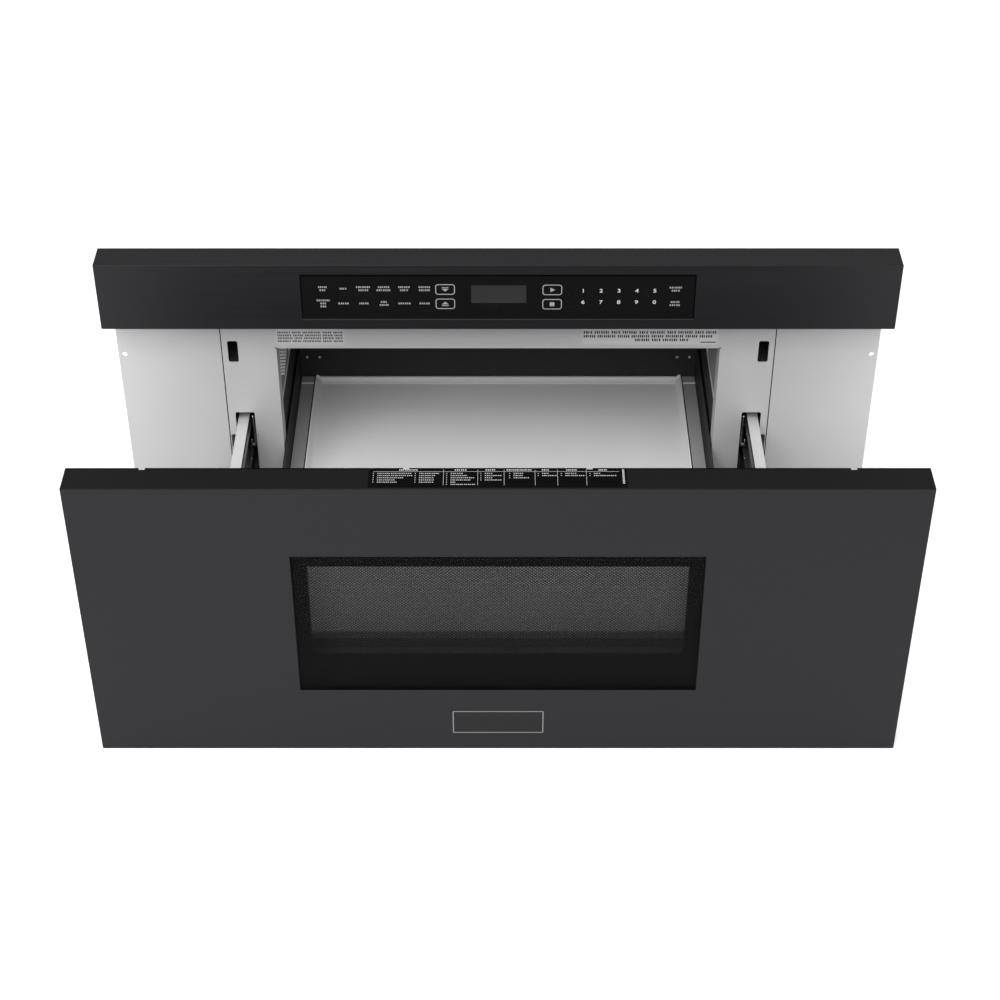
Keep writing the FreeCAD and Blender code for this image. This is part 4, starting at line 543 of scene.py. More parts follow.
def add_dome(mesh, centre, radius, rise, axis, outward, sides=16):
    """A low round head on a face: a rivet, or a screw's head. Centre is on the face."""
    u, v, level = (centre[part] for part in FACE_AXES[axis])
    loops = [loop(mesh, circle(u, v, radius * wide, sides), level + outward * rise * high, axis)
             for wide, high in HEAD_RINGS]
    for lower, upper in zip(loops, loops[1:]):
        skin(mesh, lower, upper)
    mesh.faces.new(loops[0])
    mesh.faces.new(loops[-1])


def add_cross(mesh, centre, axis, outward):
    """A thin dark cross on a screw's head: painted shade for its cross recess."""
    u, v, level = (centre[part] for part in FACE_AXES[axis])
    levels = sorted((level - CROSS_SINK * outward, level + CROSS_RISE * outward))
    for half_u, half_v in ((CROSS_REACH, CROSS_W / 2), (CROSS_W / 2, CROSS_REACH)):
        prism(mesh, oblong(u - half_u, u + half_u, v - half_v, v + half_v), *levels, axis)


# ---------------------------------------------------------------- control panel

GLASS_LAP = 5.0
TOUCH_FACE = GLASS_LOW.y
TOUCH_HALF_W = GLASS_HIGH.x - GLASS_LAP
TOUCH_BOTTOM, TOUCH_TOP = GLASS_LOW.z + GLASS_LAP, GLASS_HIGH.z - GLASS_LAP
TOUCH_Z = (TOUCH_BOTTOM + TOUCH_TOP) / 2
# widths of the painted shadow round the touch glass: top, sides and foot
RECESS_TOP, RECESS_SIDE, RECESS_LOW = 2.2, 1.0, 0.3

KEY_W, KEY_H = 18.4, 11.7
KEY_R, KEY_LINE = 2.7, 0.75
KEYS = {"open": (-50.0, 8.2), "close": (-50.0, -8.2), "start": (51.2, 7.7), "stop": (51.2, -8.7)}
ARROW_HALF_W, ARROW_FOOT, ARROW_TIP = 3.2, 0.6, 2.4
BAR_GAP, BAR_HALF_HH = 2.0, 0.45
GO_BACK, GO_TIP, GO_HALF_HH = 1.8, 2.6, 2.5
HALT_HALF_W, HALT_R = 2.2, 0.3
DISPLAY_X, DISPLAY_Z = (-25.4, 26.6), (-7.2, 12.8)
DISPLAY_FOOT, DISPLAY_R = 4.6, 0.8

DIGIT_H, DIGIT_BOLD, DIGIT_STRETCH = 4.0, 0.07, 1.2
DIGIT_SHARE = 0.7
DIGIT_X, DIGIT_PITCH = 80.4, 16.9
DIGIT_ROWS = (("12345", 6.8), ("67890", -6.2))

LEGEND_H, LEGEND_GAP = 1.9, 3.5
LEGEND_X, LEGEND_PITCH = -165.3, 19.2
TOP_LEGENDS = ((8.6, 6.4), (6.8,), (14.0, 10.0), (11.0, 14.0), (11.2, 8.2), (11.2, 10.6))
LOW_LEGENDS = ((13.2, 6.4, 6.4), (10.4,), (9.4,), (6.6, 9.0), (12.0,), (10.4,))
TOP_LEGEND_Z, LOW_LEGEND_Z = 9.1, -7.8
SIDE_LEGENDS = ((168.0, 8.6, (12.4, 8.2)), (168.0, -8.0, (9.0, 10.4)))


def make_glass_edge_shadow():
    """A painted shadow round the touch glass's edge, where the panel's skin steps down to it; widest at the
    top.
    """
    mesh = bmesh.new()
    outer = oblong(-TOUCH_HALF_W, TOUCH_HALF_W, TOUCH_BOTTOM, TOUCH_TOP)
    inner = oblong(-TOUCH_HALF_W + RECESS_SIDE, TOUCH_HALF_W - RECESS_SIDE,
                   TOUCH_BOTTOM + RECESS_LOW, TOUCH_TOP - RECESS_TOP)
    band(mesh, outer, inner, *print_on(TOUCH_FACE))
    piece("touch_recess_shadow", mesh, PAINTED_SHADOW, "chassis")


def make_key_outlines():
    """The outlines of the four framed keys."""
    mesh = bmesh.new()
    low, high = print_on(TOUCH_FACE)
    for x, z in KEYS.values():
        z += TOUCH_Z
        outer = rounded(x - KEY_W / 2, x + KEY_W / 2, z - KEY_H / 2, z + KEY_H / 2, KEY_R)
        inner = rounded(x - KEY_W / 2 + KEY_LINE, x + KEY_W / 2 - KEY_LINE,
                        z - KEY_H / 2 + KEY_LINE, z + KEY_H / 2 - KEY_LINE, KEY_R - KEY_LINE)
        band(mesh, outer, inner, low, high)
    piece("key_outlines", mesh, OUTLINE, "chassis")


def make_key_symbols():
    """Plain marks on the four framed keys: out, in, go and halt."""
    mesh = bmesh.new()
    levels = print_on(TOUCH_FACE)
    for name, (x, z) in KEYS.items():
        z += TOUCH_Z
        way = -1 if name == "open" else 1
        if name in ("open", "close"):
            left, right = x - ARROW_HALF_W, x + ARROW_HALF_W
            foot = z - ARROW_FOOT * way
            prism(mesh, [(left, foot), (right, foot), (x, z + ARROW_TIP * way)], *levels)
            bar = z - BAR_GAP * way
            prism(mesh, oblong(left, right, bar - BAR_HALF_HH, bar + BAR_HALF_HH), *levels)
        elif name == "start":
            back = x - GO_BACK
            prism(mesh, [(back, z - GO_HALF_HH), (x + GO_TIP, z), (back, z + GO_HALF_HH)], *levels)
        else:
            square = (x - HALT_HALF_W, x + HALT_HALF_W, z - HALT_HALF_W, z + HALT_HALF_W)
            prism(mesh, rounded(*square, HALT_R, 2), *levels)
    piece("key_symbols", mesh, LEGEND, "chassis")


def make_digits():
    """The ten digits as raised print."""
    mesh = bmesh.new()
    for digits, z in DIGIT_ROWS:
        for column, digit in enumerate(digits):
            add_digit(mesh, digit, DIGIT_X + column * DIGIT_PITCH, TOUCH_Z + z)
    piece("key_digits", mesh, BRIGHT_PRINT, "chassis")


def add_digit(mesh, digit, x, z):
    """One digit centred on a place on the touch glass."""
    curve = bpy.data.curves.new("digit", "FONT")
    curve.body = digit
    curve.size = DIGIT_H / DIGIT_SHARE
    curve.offset = DIGIT_BOLD
    curve.extrude = PRINT_T / 2
    curve.resolution_u = 4
    curve.align_x = "CENTER"
    carrier = bpy.data.objects.new("digit", curve)
    drawn = bpy.data.meshes.new_from_object(carrier)
    turn = Matrix.Rotation(math.radians(90), 4, "X")
    shift = Matrix.Translation((x, TOUCH_FACE - PRINT_T / 2, z - DIGIT_H / 2))
    drawn.transform(shift @ turn @ Matrix.Diagonal((DIGIT_STRETCH, 1, 1, 1)))
    mesh.from_mesh(drawn)
    bpy.data.meshes.remove(drawn)
    bpy.data.objects.remove(carrier)
    bpy.data.curves.remove(curve)


def make_legends():
    """The small legends, as plain blocks in place of words."""
    mesh = bmesh.new()
    levels = print_on(TOUCH_FACE)
    spots = list(SIDE_LEGENDS)
    for column, (top, low) in enumerate(zip(TOP_LEGENDS, LOW_LEGENDS)):
        x = LEGEND_X + column * LEGEND_PITCH
        spots += [(x, TOP_LEGEND_Z, top), (x, LOW_LEGEND_Z, low)]
    for x, z, widths in spots:
        add_words(mesh, x, TOUCH_Z + z, widths, LEGEND_H, LEGEND_GAP, levels)
    piece("key_legends", mesh, LEGEND, "chassis")


def make_display():
    """The unlit display, with a darker strip along its foot."""
    low, high = print_on(TOUCH_FACE)
    foot, top = (TOUCH_Z + z for z in DISPLAY_Z)
    mesh = bmesh.new()
    prism(mesh, rounded(*DISPLAY_X, foot, top, DISPLAY_R), low, high)
    piece("display_window", mesh, DISPLAY, "chassis")
    mesh = bmesh.new()
    prism(mesh, oblong(*DISPLAY_X, foot, foot + DISPLAY_FOOT), low - PRINT_T / 2, low)
    piece("display_foot", mesh, DISPLAY_SHADE, "chassis")


# ---------------------------------------------------------------- drawer front

FRIT_HALF_W = 171.2
FRIT_LOW, FRIT_HIGH = 110.2, 218.2
FRIT_T, FRIT_INSET, FRIT_R = 0.12, 0.5, 1.0
HOLE_PITCH, HOLE_RISE, HOLE_D = 3.5, 1.65, 1.7
HOLE_CORNERS = (-150, -90, -30, 30, 90, 150)


def make_window_print():
    """The black border printed on the back of the window glass."""
    mesh = bmesh.new()
    low = WINDOW_HIGH.y - 2 * FRIT_T
    outer = rounded(WINDOW_LOW.x + FRIT_INSET, WINDOW_HIGH.x - FRIT_INSET,
                    WINDOW_LOW.z + FRIT_INSET, WINDOW_HIGH.z - FRIT_INSET, FRIT_R)
    inner = rounded(-FRIT_HALF_W, FRIT_HALF_W, FRIT_LOW, FRIT_HIGH, FRIT_R)
    band(mesh, outer, inner, low, low + FRIT_T)
    piece("window_print", mesh, FRIT, "drawer")


def add_hole_ring(mesh, ring, centre):
    """Faces between a cell's six corners and the hole in it, which has six corners too."""
    hole = []
    for angle in HOLE_CORNERS:
        turn = math.radians(angle)
        hole.append(mesh.verts.new((centre[0] + HOLE_D / 2 * math.cos(turn), SCREEN_HIGH.y,
                                    centre[1] + HOLE_D / 2 * math.sin(turn))))
    skin(mesh, ring, hole)


def make_screen():
    """The perforated screen: staggered six-sided holes in a thin sheet with a plain border."""
    mesh = bmesh.new()
    step = HOLE_PITCH / 2
    wide = SCREEN_HIGH.x - SCREEN_LOW.x - 2 * SCREEN_BORDER
    tall = SCREEN_HIGH.z - SCREEN_LOW.z - SCREEN_BORDER - SCREEN_FOOT
    columns = 2 * int(wide / HOLE_PITCH) + 1
    rows = int(tall / HOLE_RISE)
    xs = [(column - columns / 2) * step for column in range(columns + 1)]
    zs = [SCREEN_LOW.z + SCREEN_FOOT + row * HOLE_RISE for row in range(rows + 1)]
    xs = [SCREEN_LOW.x, *xs, SCREEN_HIGH.x]
    zs = [SCREEN_LOW.z, *zs, SCREEN_HIGH.z]
    grid = [[mesh.verts.new((x, SCREEN_HIGH.y, z)) for x in xs] for z in zs]
    for row in range(len(zs) - 1):
        low, high = grid[row], grid[row + 1]
        holed_row = 0 < row < len(zs) - 2
        column = 0
        while column < len(xs) - 1:
            if holed_row and 0 < column < len(xs) - 3 and (column + row) % 2 == 1:
                ring = [*low[column:column + 3], *reversed(high[column:column + 3])]
                add_hole_ring(mesh, ring, (xs[column + 1], (zs[row] + zs[row + 1]) / 2))
                column += 2
            else:
                mesh.faces.new((low[column], low[column + 1], high[column + 1], high[column]))
                column += 1
    made = piece("screen_mesh", mesh, FINISHES["screen_steel"], "drawer",
                 replaces=["perforated_screen"])
    wall = made.modifiers.new("sheet", "SOLIDIFY")
    wall.thickness = (SCREEN_HIGH.y - SCREEN_LOW.y) * MM
    wall.offset = 1.0


BADGE_LINE, BADGE_R, BADGE_SINK = 1.0, 1.2, 0.2


def make_badge():
    """The blank badge: a dark field inside a thin outline."""
    outer = rounded(BADGE_LOW.x, BADGE_HIGH.x, BADGE_LOW.z, BADGE_HIGH.z, BADGE_R)
    inner = rounded(BADGE_LOW.x + BADGE_LINE, BADGE_HIGH.x - BADGE_LINE,
                    BADGE_LOW.z + BADGE_LINE, BADGE_HIGH.z - BADGE_LINE, BADGE_R / 2)
    mesh = bmesh.new()
    band(mesh, outer, inner, BADGE_LOW.y, BADGE_HIGH.y)
    piece("badge_rim", mesh, FINISHES["badge_metal"], "drawer", replaces=["badge_plate"])
    mesh = bmesh.new()
    prism(mesh, inner, BADGE_LOW.y + BADGE_SINK, BADGE_HIGH.y)
    piece("badge_field", mesh, BADGE_FIELD, "drawer")


PRINT_SINK = 0.02
CARD_X, CARD_BACK, CARD_D, CARD_R = (-113.0, 112.5), 1.8, 24.8, 0.8
CARD_LINE, CARD_PRINT_T = 0.3, 0.6 * PRINT_T
CARD_HEADER, CARD_RULE, CARD_FIRST_ROW, CARD_ROW = 2.7, 4.9, 7.4, 3.0
CARD_RULE_X = (-109.0, 106.0)
CARD_TEXT_H, CARD_HEADER_H = 1.05, 1.7
CARD_LETTER, CARD_NUMBER_W, CARD_NUMBER_GAP = 1.7, 0.7, 3.8
CARD_EDGES = (-47.5, -17.6, 5.4, 32.4, 52.0, 77.2)
CARD_EDGE_ROWS, CARD_EDGE_GAP = 5.4, 0.6
# middle and width of each column's header
CARD_HEADERS = (
    (-78.1, 16.5), (-32.4, 10.8), (-6.3, 9.0), (18.8, 22.3), (41.7, 6.6), (64.5, 9.4), (91.9, 7.8),
)
# left edge of each column and the lengths of its rows
CARD_COLUMNS = (
    (-109.0, (30, 31, 23, 16, 18)),
    (-72.5, (18, 14.5, 13, 13.5, 13)),
    (-45.0, (11, 14.5, 21, 18, 5, 22)),
    (-15.2, (7, 15, 7, 15)),
    (9.8, (9, 8.5, 14)),
    (34.8, (6, 13)),
    (55.0, (10, 17)),
    (79.9, (6, 20)),
)
END_MARK_X, END_MARKS = (108.6, 110.4), 11
END_MARK_PITCH, END_MARK_HALF_D = 1.8, 0.6

# half width and depth of the painted shadow along the flange's back edge
EDGE_HALF_W, EDGE_D = 379.0, 1.6
NOTCH_X, NOTCH_W = (-312.0, -80.3, 80.3, 312.0), 5.5


def make_flange_shadow():
    """A painted shadow along the back edge of the drawer's top flange, from notch to notch."""
    mesh = bmesh.new()
    ends = [-EDGE_HALF_W, *(x + side * NOTCH_W / 2 for x in NOTCH_X for side in (-1, 1)), EDGE_HALF_W]
    for start, stop in zip(ends[::2], ends[1::2]):
        strip = oblong(start, stop, SKIN_HIGH.y - EDGE_D, SKIN_HIGH.y)
        prism(mesh, strip, SKIN_HIGH.z - PRINT_SINK, SKIN_HIGH.z + PRINT_T, "Z")
    piece("flange_edge_shadow", mesh, PAINTED_SHADOW, "drawer")


def make_menu_card():
    """The blank menu card on the drawer's top flange: columns of plain blocks under a rule."""
    top = SKIN_HIGH.z
    edge = SKIN_HIGH.y
    mesh = bmesh.new()
    card = rounded(*CARD_X, edge - CARD_BACK - CARD_D, edge - CARD_BACK, CARD_R)
    prism(mesh, card, top - PRINT_SINK, top + PRINT_T, "Z")
    piece("menu_card", mesh, CARD, "drawer")

    mesh = bmesh.new()
    levels = (top + PRINT_T, top + PRINT_T + CARD_PRINT_T)
    rule = edge - CARD_RULE
    prism(mesh, oblong(*CARD_RULE_X, rule - CARD_LINE / 2, rule + CARD_LINE / 2), *levels, "Z")
    along = (edge - CARD_FIRST_ROW - CARD_EDGE_ROWS * CARD_ROW, edge - CARD_BACK - CARD_EDGE_GAP)
    for x in CARD_EDGES:
        prism(mesh, oblong(x - CARD_LINE / 2, x + CARD_LINE / 2, *along), *levels, "Z")
    header = edge - CARD_HEADER
    for x, width in CARD_HEADERS:
        add_word(mesh, x - width / 2, x + width / 2, header, CARD_HEADER_H, levels, "Z", CARD_LETTER)
    for left, rows in CARD_COLUMNS:
        start = left + CARD_NUMBER_GAP
        for row, length in enumerate(rows):
            line = edge - CARD_FIRST_ROW - row * CARD_ROW
            number = oblong(left, left + CARD_NUMBER_W, line - CARD_TEXT_H / 2, line + CARD_TEXT_H / 2)
            prism(mesh, number, *levels, "Z")
            add_word(mesh, start, start + length, line, CARD_TEXT_H, levels, "Z", CARD_LETTER)
    for mark in range(END_MARKS):
        line = header - mark * END_MARK_PITCH
        prism(mesh, oblong(*END_MARK_X, line - END_MARK_HALF_D, line + END_MARK_HALF_D), *levels, "Z")
    piece("menu_print", mesh, DIM_PRINT, "drawer")


# ---------------------------------------------------------------- drawer box

TRAY_FLOOR_T = 5.0
LEDGE_Z, LEDGE_T, LEDGE_GAP = 105.0, 0.25, 1.2
LEDGE_FRONT, LEDGE_REAR = 2.0, 1.0
STEP_D, STEP_LIP = 11.0, 1.2
PAN_T = 0.8
PAN_RIVETS_X, PAN_RIVET_Z = (209.0, 195.4), 132.1
PAN_RIVET_R, PAN_RIVET_HH = 1.5, 0.7
FOLD_HH, FOLD_D, FOLD_END, FOLD_BACK = 0.5, 1.0, 4.6, 5.2
LIP_IN, LIP_END, LIP_SINK, LIP_RISE = 0.4, 1.0, 0.1, 0.15
# a peak's foot and tip, as distances inwards and forwards from the rim's rear corner
PEAK_FOOT, PEAK_TIP = ((-0.2, 0.5), (5.2, 0.5), (1.6, 5.0)), (1.0, 0.8)
PEAK_SINK, PEAK_HH = 0.2, 2.4


def make_tray():
    """The light tray: a flat floor, sloping walls and a narrow rounded rim."""
    mesh = bmesh.new()
    x, front, rear = TRAY_HIGH.x, TRAY_LOW.y, TRAY_HIGH.y
    top, low = TRAY_HIGH.z, TRAY_LOW.z
    floor = low + TRAY_FLOOR_T
    # half width, front, rear, height and corner radius of each loop, from the outside in
    steps = [
        (x - 3.0, front + 3.0, rear - 3.0, low, 3.0),
        (x - 0.6, front + 0.6, rear - 0.6, top - 1.2, 3.0),
        (x, front, rear, top - 0.5, 3.0),
        (x - 0.5, front + 0.5, rear - 0.5, top, 3.0),
        (x - 1.8, front + 1.8, rear - 2.0, top, 2.2),
        (x - 2.4, front + 2.4, rear - 2.5, top - 1.6, 2.2),
        (x - 3.2, front + 3.2, rear - 2.9, top - 2.0, 2.2),
        (x - 5.4, front + 6.0, rear - 4.6, floor + 0.6, 3.0),
        (x - 6.6, front + 7.4, rear - 5.4, floor, 3.6),
        (x - 9.0, front + 10.0, rear - 8.0, floor, 5.0),
    ]
    loops = [loop(mesh, rounded(-w, w, y0, y1, r, 4), z, "Z") for w, y0, y1, z, r in steps]
    for outer, inner in zip(loops, loops[1:]):
        skin(mesh, outer, inner)
    mesh.faces.new(loops[0])
    mesh.faces.new(loops[-1])
    piece("tray", mesh, FINISHES["tray_ceramic"], "drawer", replaces=["glass_tray"],
          smooth=True)


def make_tray_highlights():
    """Painted highlights on the tray's folds: a bead at the rear wall's foot, thin side lips and two rear
    peaks.
    """
    x, front, rear, top = TRAY_HIGH.x, TRAY_LOW.y, TRAY_HIGH.y, TRAY_HIGH.z
    foot = TRAY_LOW.z + TRAY_FLOOR_T
    mesh = bmesh.new()
    bead = oblong(FOLD_END - x, x - FOLD_END, rear - FOLD_BACK - FOLD_D, rear - FOLD_BACK)
    prism(mesh, bead, foot, foot + FOLD_HH, "Z")
    for side in (-1, 1):
        edge = side * (x - LIP_IN)
        lip = oblong(*sorted((edge, edge - side * FOLD_D)), front + LIP_END, rear - LIP_END)
        prism(mesh, lip, top - LIP_SINK, top + LIP_RISE, "Z")
        base = [mesh.verts.new((edge - side * u, rear - v, top - PEAK_SINK)) for u, v in PEAK_FOOT]
        apex = mesh.verts.new((edge - side * PEAK_TIP[0], rear - PEAK_TIP[1], top + PEAK_HH))
        mesh.faces.new(base)
        for first, second in ((0, 1), (1, 2), (2, 0)):
            mesh.faces.new((base[first], base[second], apex))
    piece("tray_fold_highlights", mesh, PAINTED_HIGHLIGHT, "drawer")


def make_ledges():
    """The grey flanges on both sides of the tray, each with a step at its rear end and a painted highlight
    on the step's lip, and the rear rivets.
    """
    outer = PAN_HIGH.x - LEDGE_GAP
    inner = TRAY_HIGH.x + LEDGE_GAP
    front, rear = TRAY_LOW.y - LEDGE_FRONT, PAN_HIGH.y - LEDGE_REAR
    mesh = bmesh.new()
    steps = bmesh.new()
    lips = bmesh.new()
    rivets = bmesh.new()
    for side in (-1, 1):
        edges = sorted((side * inner, side * outer))
        prism(mesh, oblong(*edges, front, rear - STEP_D), LEDGE_Z, LEDGE_Z + LEDGE_T, "Z")
        prism(steps, oblong(*edges, rear - STEP_D, rear), LEDGE_Z, LEDGE_Z + 3 * LEDGE_T, "Z")
        # painted highlight: a thin lip at the front of each rear step
        lip = oblong(*edges, rear - STEP_D - STEP_LIP, rear - STEP_D)
        prism(lips, lip, LEDGE_Z, LEDGE_Z + 4 * LEDGE_T, "Z")
        for x in PAN_RIVETS_X:
            place = (side * x, PAN_HIGH.y - PAN_T, PAN_RIVET_Z)
            add_dome(rivets, place, PAN_RIVET_R, PAN_RIVET_HH, "Y", -1, 10)
    piece("ledges", mesh, GREY_TRIM, "drawer")
    piece("ledge_steps", steps, GREY_TRIM, "drawer")
    piece("ledge_lip_highlights", lips, PAINTED_HIGHLIGHT, "drawer")
    piece("pan_rivets", rivets, PALE_TRIM_AND_HIGHLIGHT, "drawer", smooth=True)


# ---------------------------------------------------------------- plate round the mouth

VENT_T, VENT_BEAD_T, LOUVRE_T = 0.7, 0.5, 0.1
LOUVRES, LOUVRE_START, LOUVRE_PITCH, LOUVRE_HALF_HH = 9, (21.0, 255.8), 3.94, 1.36
LOUVRE_DROP, LOUVRE_DROP_STEP, LOUVRE_SLOPE = 41.2, 2.74, 0.724
VENT_BEAD, VENT_REAR_D = 4.5, 20.0
FILM_T = 0.05
LEFT_LABEL = (-217.0, -150.0, 276.6, 303.4)
RIGHT_LABEL = (82.0, 214.6, 276.6, 303.4)
LEFT_ROWS = (291.0, 287.5, 284.2, 280.6)
RIGHT_ROWS = ((291.2, 83.5, 213.4), (286.5, 83.5, 209.5), (282.1, 133.8, 186.4))
LEFT_TEXT_H, RIGHT_TEXT_H = 2.2, 3.0
LABEL_R, LABEL_MARGIN, LABEL_PRINT_T = 1.5, 1.5, 0.6 * FILM_T
LEFT_WORDS, LEFT_PITCH, LEFT_SPACE = (13, 8, 16, 9, 12), 1.7, 1.4
RIGHT_WORD, RIGHT_WORD_STEP, RIGHT_PITCH, RIGHT_SPACE = 9, 3, 2.1, 1.6
SHORTEST_WORD = 4
LABEL_BAR = (198.0, 212.8, 278.8, 280.0)
# depth of the painted shadow in the wing seams, behind the plate's face
SEAM_SHADOW_FRONT, SEAM_SHADOW_BACK = 0.35, 0.95


def make_vents():
    """The light plates on the side walls inside the mouth, with pale beads painted as highlights on their
    folds; the left one has slanted louvres painted pale as light through the slots.
    """
    mesh = bmesh.new()
    beads = bmesh.new()
    louvres = bmesh.new()
    for side in (-1, 1):
        wall = side * VENT_HIGH.x
        levels = sorted((wall, wall - side * VENT_T))
        prism(mesh, oblong(VENT_LOW.y, VENT_HIGH.y, VENT_LOW.z, VENT_HIGH.z), *levels, "X")
        levels = sorted((wall - side * VENT_T, wall - side * (VENT_T + VENT_BEAD_T)))
        prism(beads, oblong(VENT_LOW.y, VENT_HIGH.y, VENT_LOW.z, VENT_LOW.z + VENT_BEAD), *levels, "X")
        rear = oblong(VENT_HIGH.y - VENT_REAR_D, VENT_HIGH.y, VENT_LOW.z + VENT_BEAD, VENT_HIGH.z)
        prism(beads, rear, *levels, "X")
    face = VENT_T - VENT_HIGH.x
    for row in range(LOUVRES):
        y, z = LOUVRE_START[0], LOUVRE_START[1] - row * LOUVRE_PITCH
        drop = LOUVRE_DROP - row * LOUVRE_DROP_STEP
        rear = y + drop / LOUVRE_SLOPE
        outline = [(y, z - LOUVRE_HALF_HH), (rear, z - drop - LOUVRE_HALF_HH),
                   (rear, z - drop + LOUVRE_HALF_HH), (y, z + LOUVRE_HALF_HH)]
        prism(louvres, outline, face, face + LOUVRE_T, "X")
    piece("vent_panels", mesh, VENT_GREY, "chassis", replaces=["vent_plates"])
    piece("vent_bead_highlights", beads, PALE_TRIM_AND_HIGHLIGHT, "chassis")
    piece("vent_louvre_light", louvres, LOUVRE, "chassis")


def make_labels():
    """Two bare label films above the mouth, with rows of plain dark blocks."""
    face = PLATE_LOW.y
    mesh = bmesh.new()
    for x0, x1, z0, z1 in (LEFT_LABEL, RIGHT_LABEL):
        prism(mesh, rounded(x0, x1, z0, z1, LABEL_R, 3), face - FILM_T, face)
    piece("label_films", mesh, LABEL, "chassis")
    mesh = bmesh.new()
    levels = (face - FILM_T - LABEL_PRINT_T, face - FILM_T)
    left, right = LEFT_LABEL[0] + LABEL_MARGIN, LEFT_LABEL[1] - LABEL_MARGIN
    for row, z in enumerate(LEFT_ROWS):
        start = left
        for word, length in enumerate(LEFT_WORDS):
            stop = min(start + length + (row + word) % 3, right)
            add_word(mesh, start, stop, z, LEFT_TEXT_H, levels, pitch=LEFT_PITCH)
            start = stop + LEFT_SPACE
    for row, (z, start, last) in enumerate(RIGHT_ROWS):
        word = 0
        while start < last - SHORTEST_WORD:
            stop = min(start + RIGHT_WORD + RIGHT_WORD_STEP * ((row + 2 * word) % 4), last)
            add_word(mesh, start, stop, z, RIGHT_TEXT_H, levels, pitch=RIGHT_PITCH)
            start = stop + RIGHT_SPACE
            word += 1
    prism(mesh, oblong(*LABEL_BAR), *levels)
    piece("label_print", mesh, DARK_PRINT_AND_SHADE, "chassis")


def make_seam_shadows():
    """Dark strips of painted shadow in the seams between the front plate and the wings."""
    mesh = bmesh.new()
    for side in (-1, 1):
        edges = sorted((side * PLATE_HIGH.x, side * -WING_HIGH.x))
        strip = oblong(*edges, WING_LOW.z, WING_HIGH.z)
        prism(mesh, strip, PLATE_LOW.y + SEAM_SHADOW_FRONT, PLATE_LOW.y + SEAM_SHADOW_BACK)
    piece("wing_seam_shadows", mesh, PAINTED_SHADOW, "chassis")


CLIP_WIRE_R = 0.7
CLIP_POINTS = ((-247.4, 186.0), (-246.9, 176.0), (-246.3, 160.0), (-246.6, 152.5), (-248.6, 149.6),
               (-250.6, 152.0), (-250.2, 156.0))
CLIP_Y = 1.6
CLIP_SIDES, CLIP_PARTS = 8, 5


def make_clips():
    """A sprung wire clip at the inner edge of each slide slot, held behind the front plate."""
    mesh = bmesh.new()
    for side in (-1, 1):
        centres = [Vector((side * -x, CLIP_Y, z)) for x, z in smooth_path(CLIP_POINTS, CLIP_PARTS)]
        rings = []
        for index, centre in enumerate(centres):
            ahead = centres[min(index + 1, len(centres) - 1)] - centres[max(index - 1, 0)]
            across = ahead.cross(Vector((0, 1, 0))).normalized()
            ring = []
            for turn in range(CLIP_SIDES):
                angle = math.radians(360 / CLIP_SIDES * turn)
                offset = across * math.cos(angle) + Vector((0, 1, 0)) * math.sin(angle)
                ring.append(mesh.verts.new(centre + offset * CLIP_WIRE_R))
            rings.append(ring)
        for lower, upper in zip(rings, rings[1:]):
            skin(mesh, lower, upper)
        mesh.faces.new(rings[0])
        mesh.faces.new(rings[-1])
    piece("slot_clips", mesh, FINISHES["screw_zinc"], "chassis", smooth=True)


def smooth_path(points, parts):
    """More points on a smooth line through some points."""
    ends = [points[0], *points, points[-1]]
    path = []
    for before, start, stop, after in zip(ends, ends[1:], ends[2:], ends[3:]):
        for part in range(parts):
            t = part / parts
            path.append(tuple(
                0.5 * (2 * s + (e - b) * t + (2 * b - 5 * s + 4 * e - a) * t * t
                       + (3 * s - b - 3 * e + a) * t ** 3)
                for b, s, e, a in zip(before, start, stop, after)))
    return [*path, points[-1]]


# ---------------------------------------------------------------- case

SEAM_BACK, SEAM_W = 16.5, 0.9
CASE_SCREW_R, CASE_SCREW_HH = 4.2, 2.0
CASE_SCREW_Z = 9.0
CASE_SCREWS_Y = (60.0, 210.0, 370.0, 530.0)
TOP_SCREWS_X, TOP_SCREW_BACK = (-180.0, 0.0, 180.0), 10.0
BEAD_Y, BEAD_Z = (70.0, 530.0), (60.0, 312.0)
# inset, rise and corner radius of each loop across a side bead, from the outside in
BEAD_LOOPS = ((0.0, 0.0, 22.0), (2.5, 1.0, 20.0), (6.5, 1.0, 16.0), (9.0, 0.0, 14.0))
RATING_FILM, RATING_R = (-40.0, 60.0, 290.0, 345.0), 3.0
REAR_PANEL_T = 1.0
# places of the rivets as shares of a bracket's length
BRACKET_RIVETS = (0.12, 0.35, 0.58, 0.8)
BRACKET_RIVET_DROP, BRACKET_RIVET_R, BRACKET_RIVET_HH = 22.0, 3.0, 1.2


def rear_screw_places():
    """Where the rear panel's screws are, as pairs of X and Z."""
    across = REAR_HIGH.x - CASE_SCREW_R
    rows = REAR_LOW.z + CASE_SCREW_R, CASE_HIGH.z / 2, REAR_HIGH.z - CASE_SCREW_R
    corners = [(side * across, z) for side in (-1, 1) for z in rows]
    return corners + [(0.0, rows[0]), (0.0, rows[2])]


def make_case_beads():
    """The raised bead that runs round each side of the cover."""
    mesh = bmesh.new()
    for side in (-1, 1):
        loops = []
        for inset, rise, radius in BEAD_LOOPS:
            outline = rounded(BEAD_Y[0] + inset, BEAD_Y[1] - inset,
                              BEAD_Z[0] + inset, BEAD_Z[1] - inset, radius, 8)
            loops.append(loop(mesh, outline, side * (CASE_HIGH.x + rise), "X"))
        for index, lower in enumerate(loops):
            skin(mesh, lower, loops[(index + 1) % len(loops)])
    piece("case_beads", mesh, FINISHES["zinc_sheet"], "chassis", smooth=True)


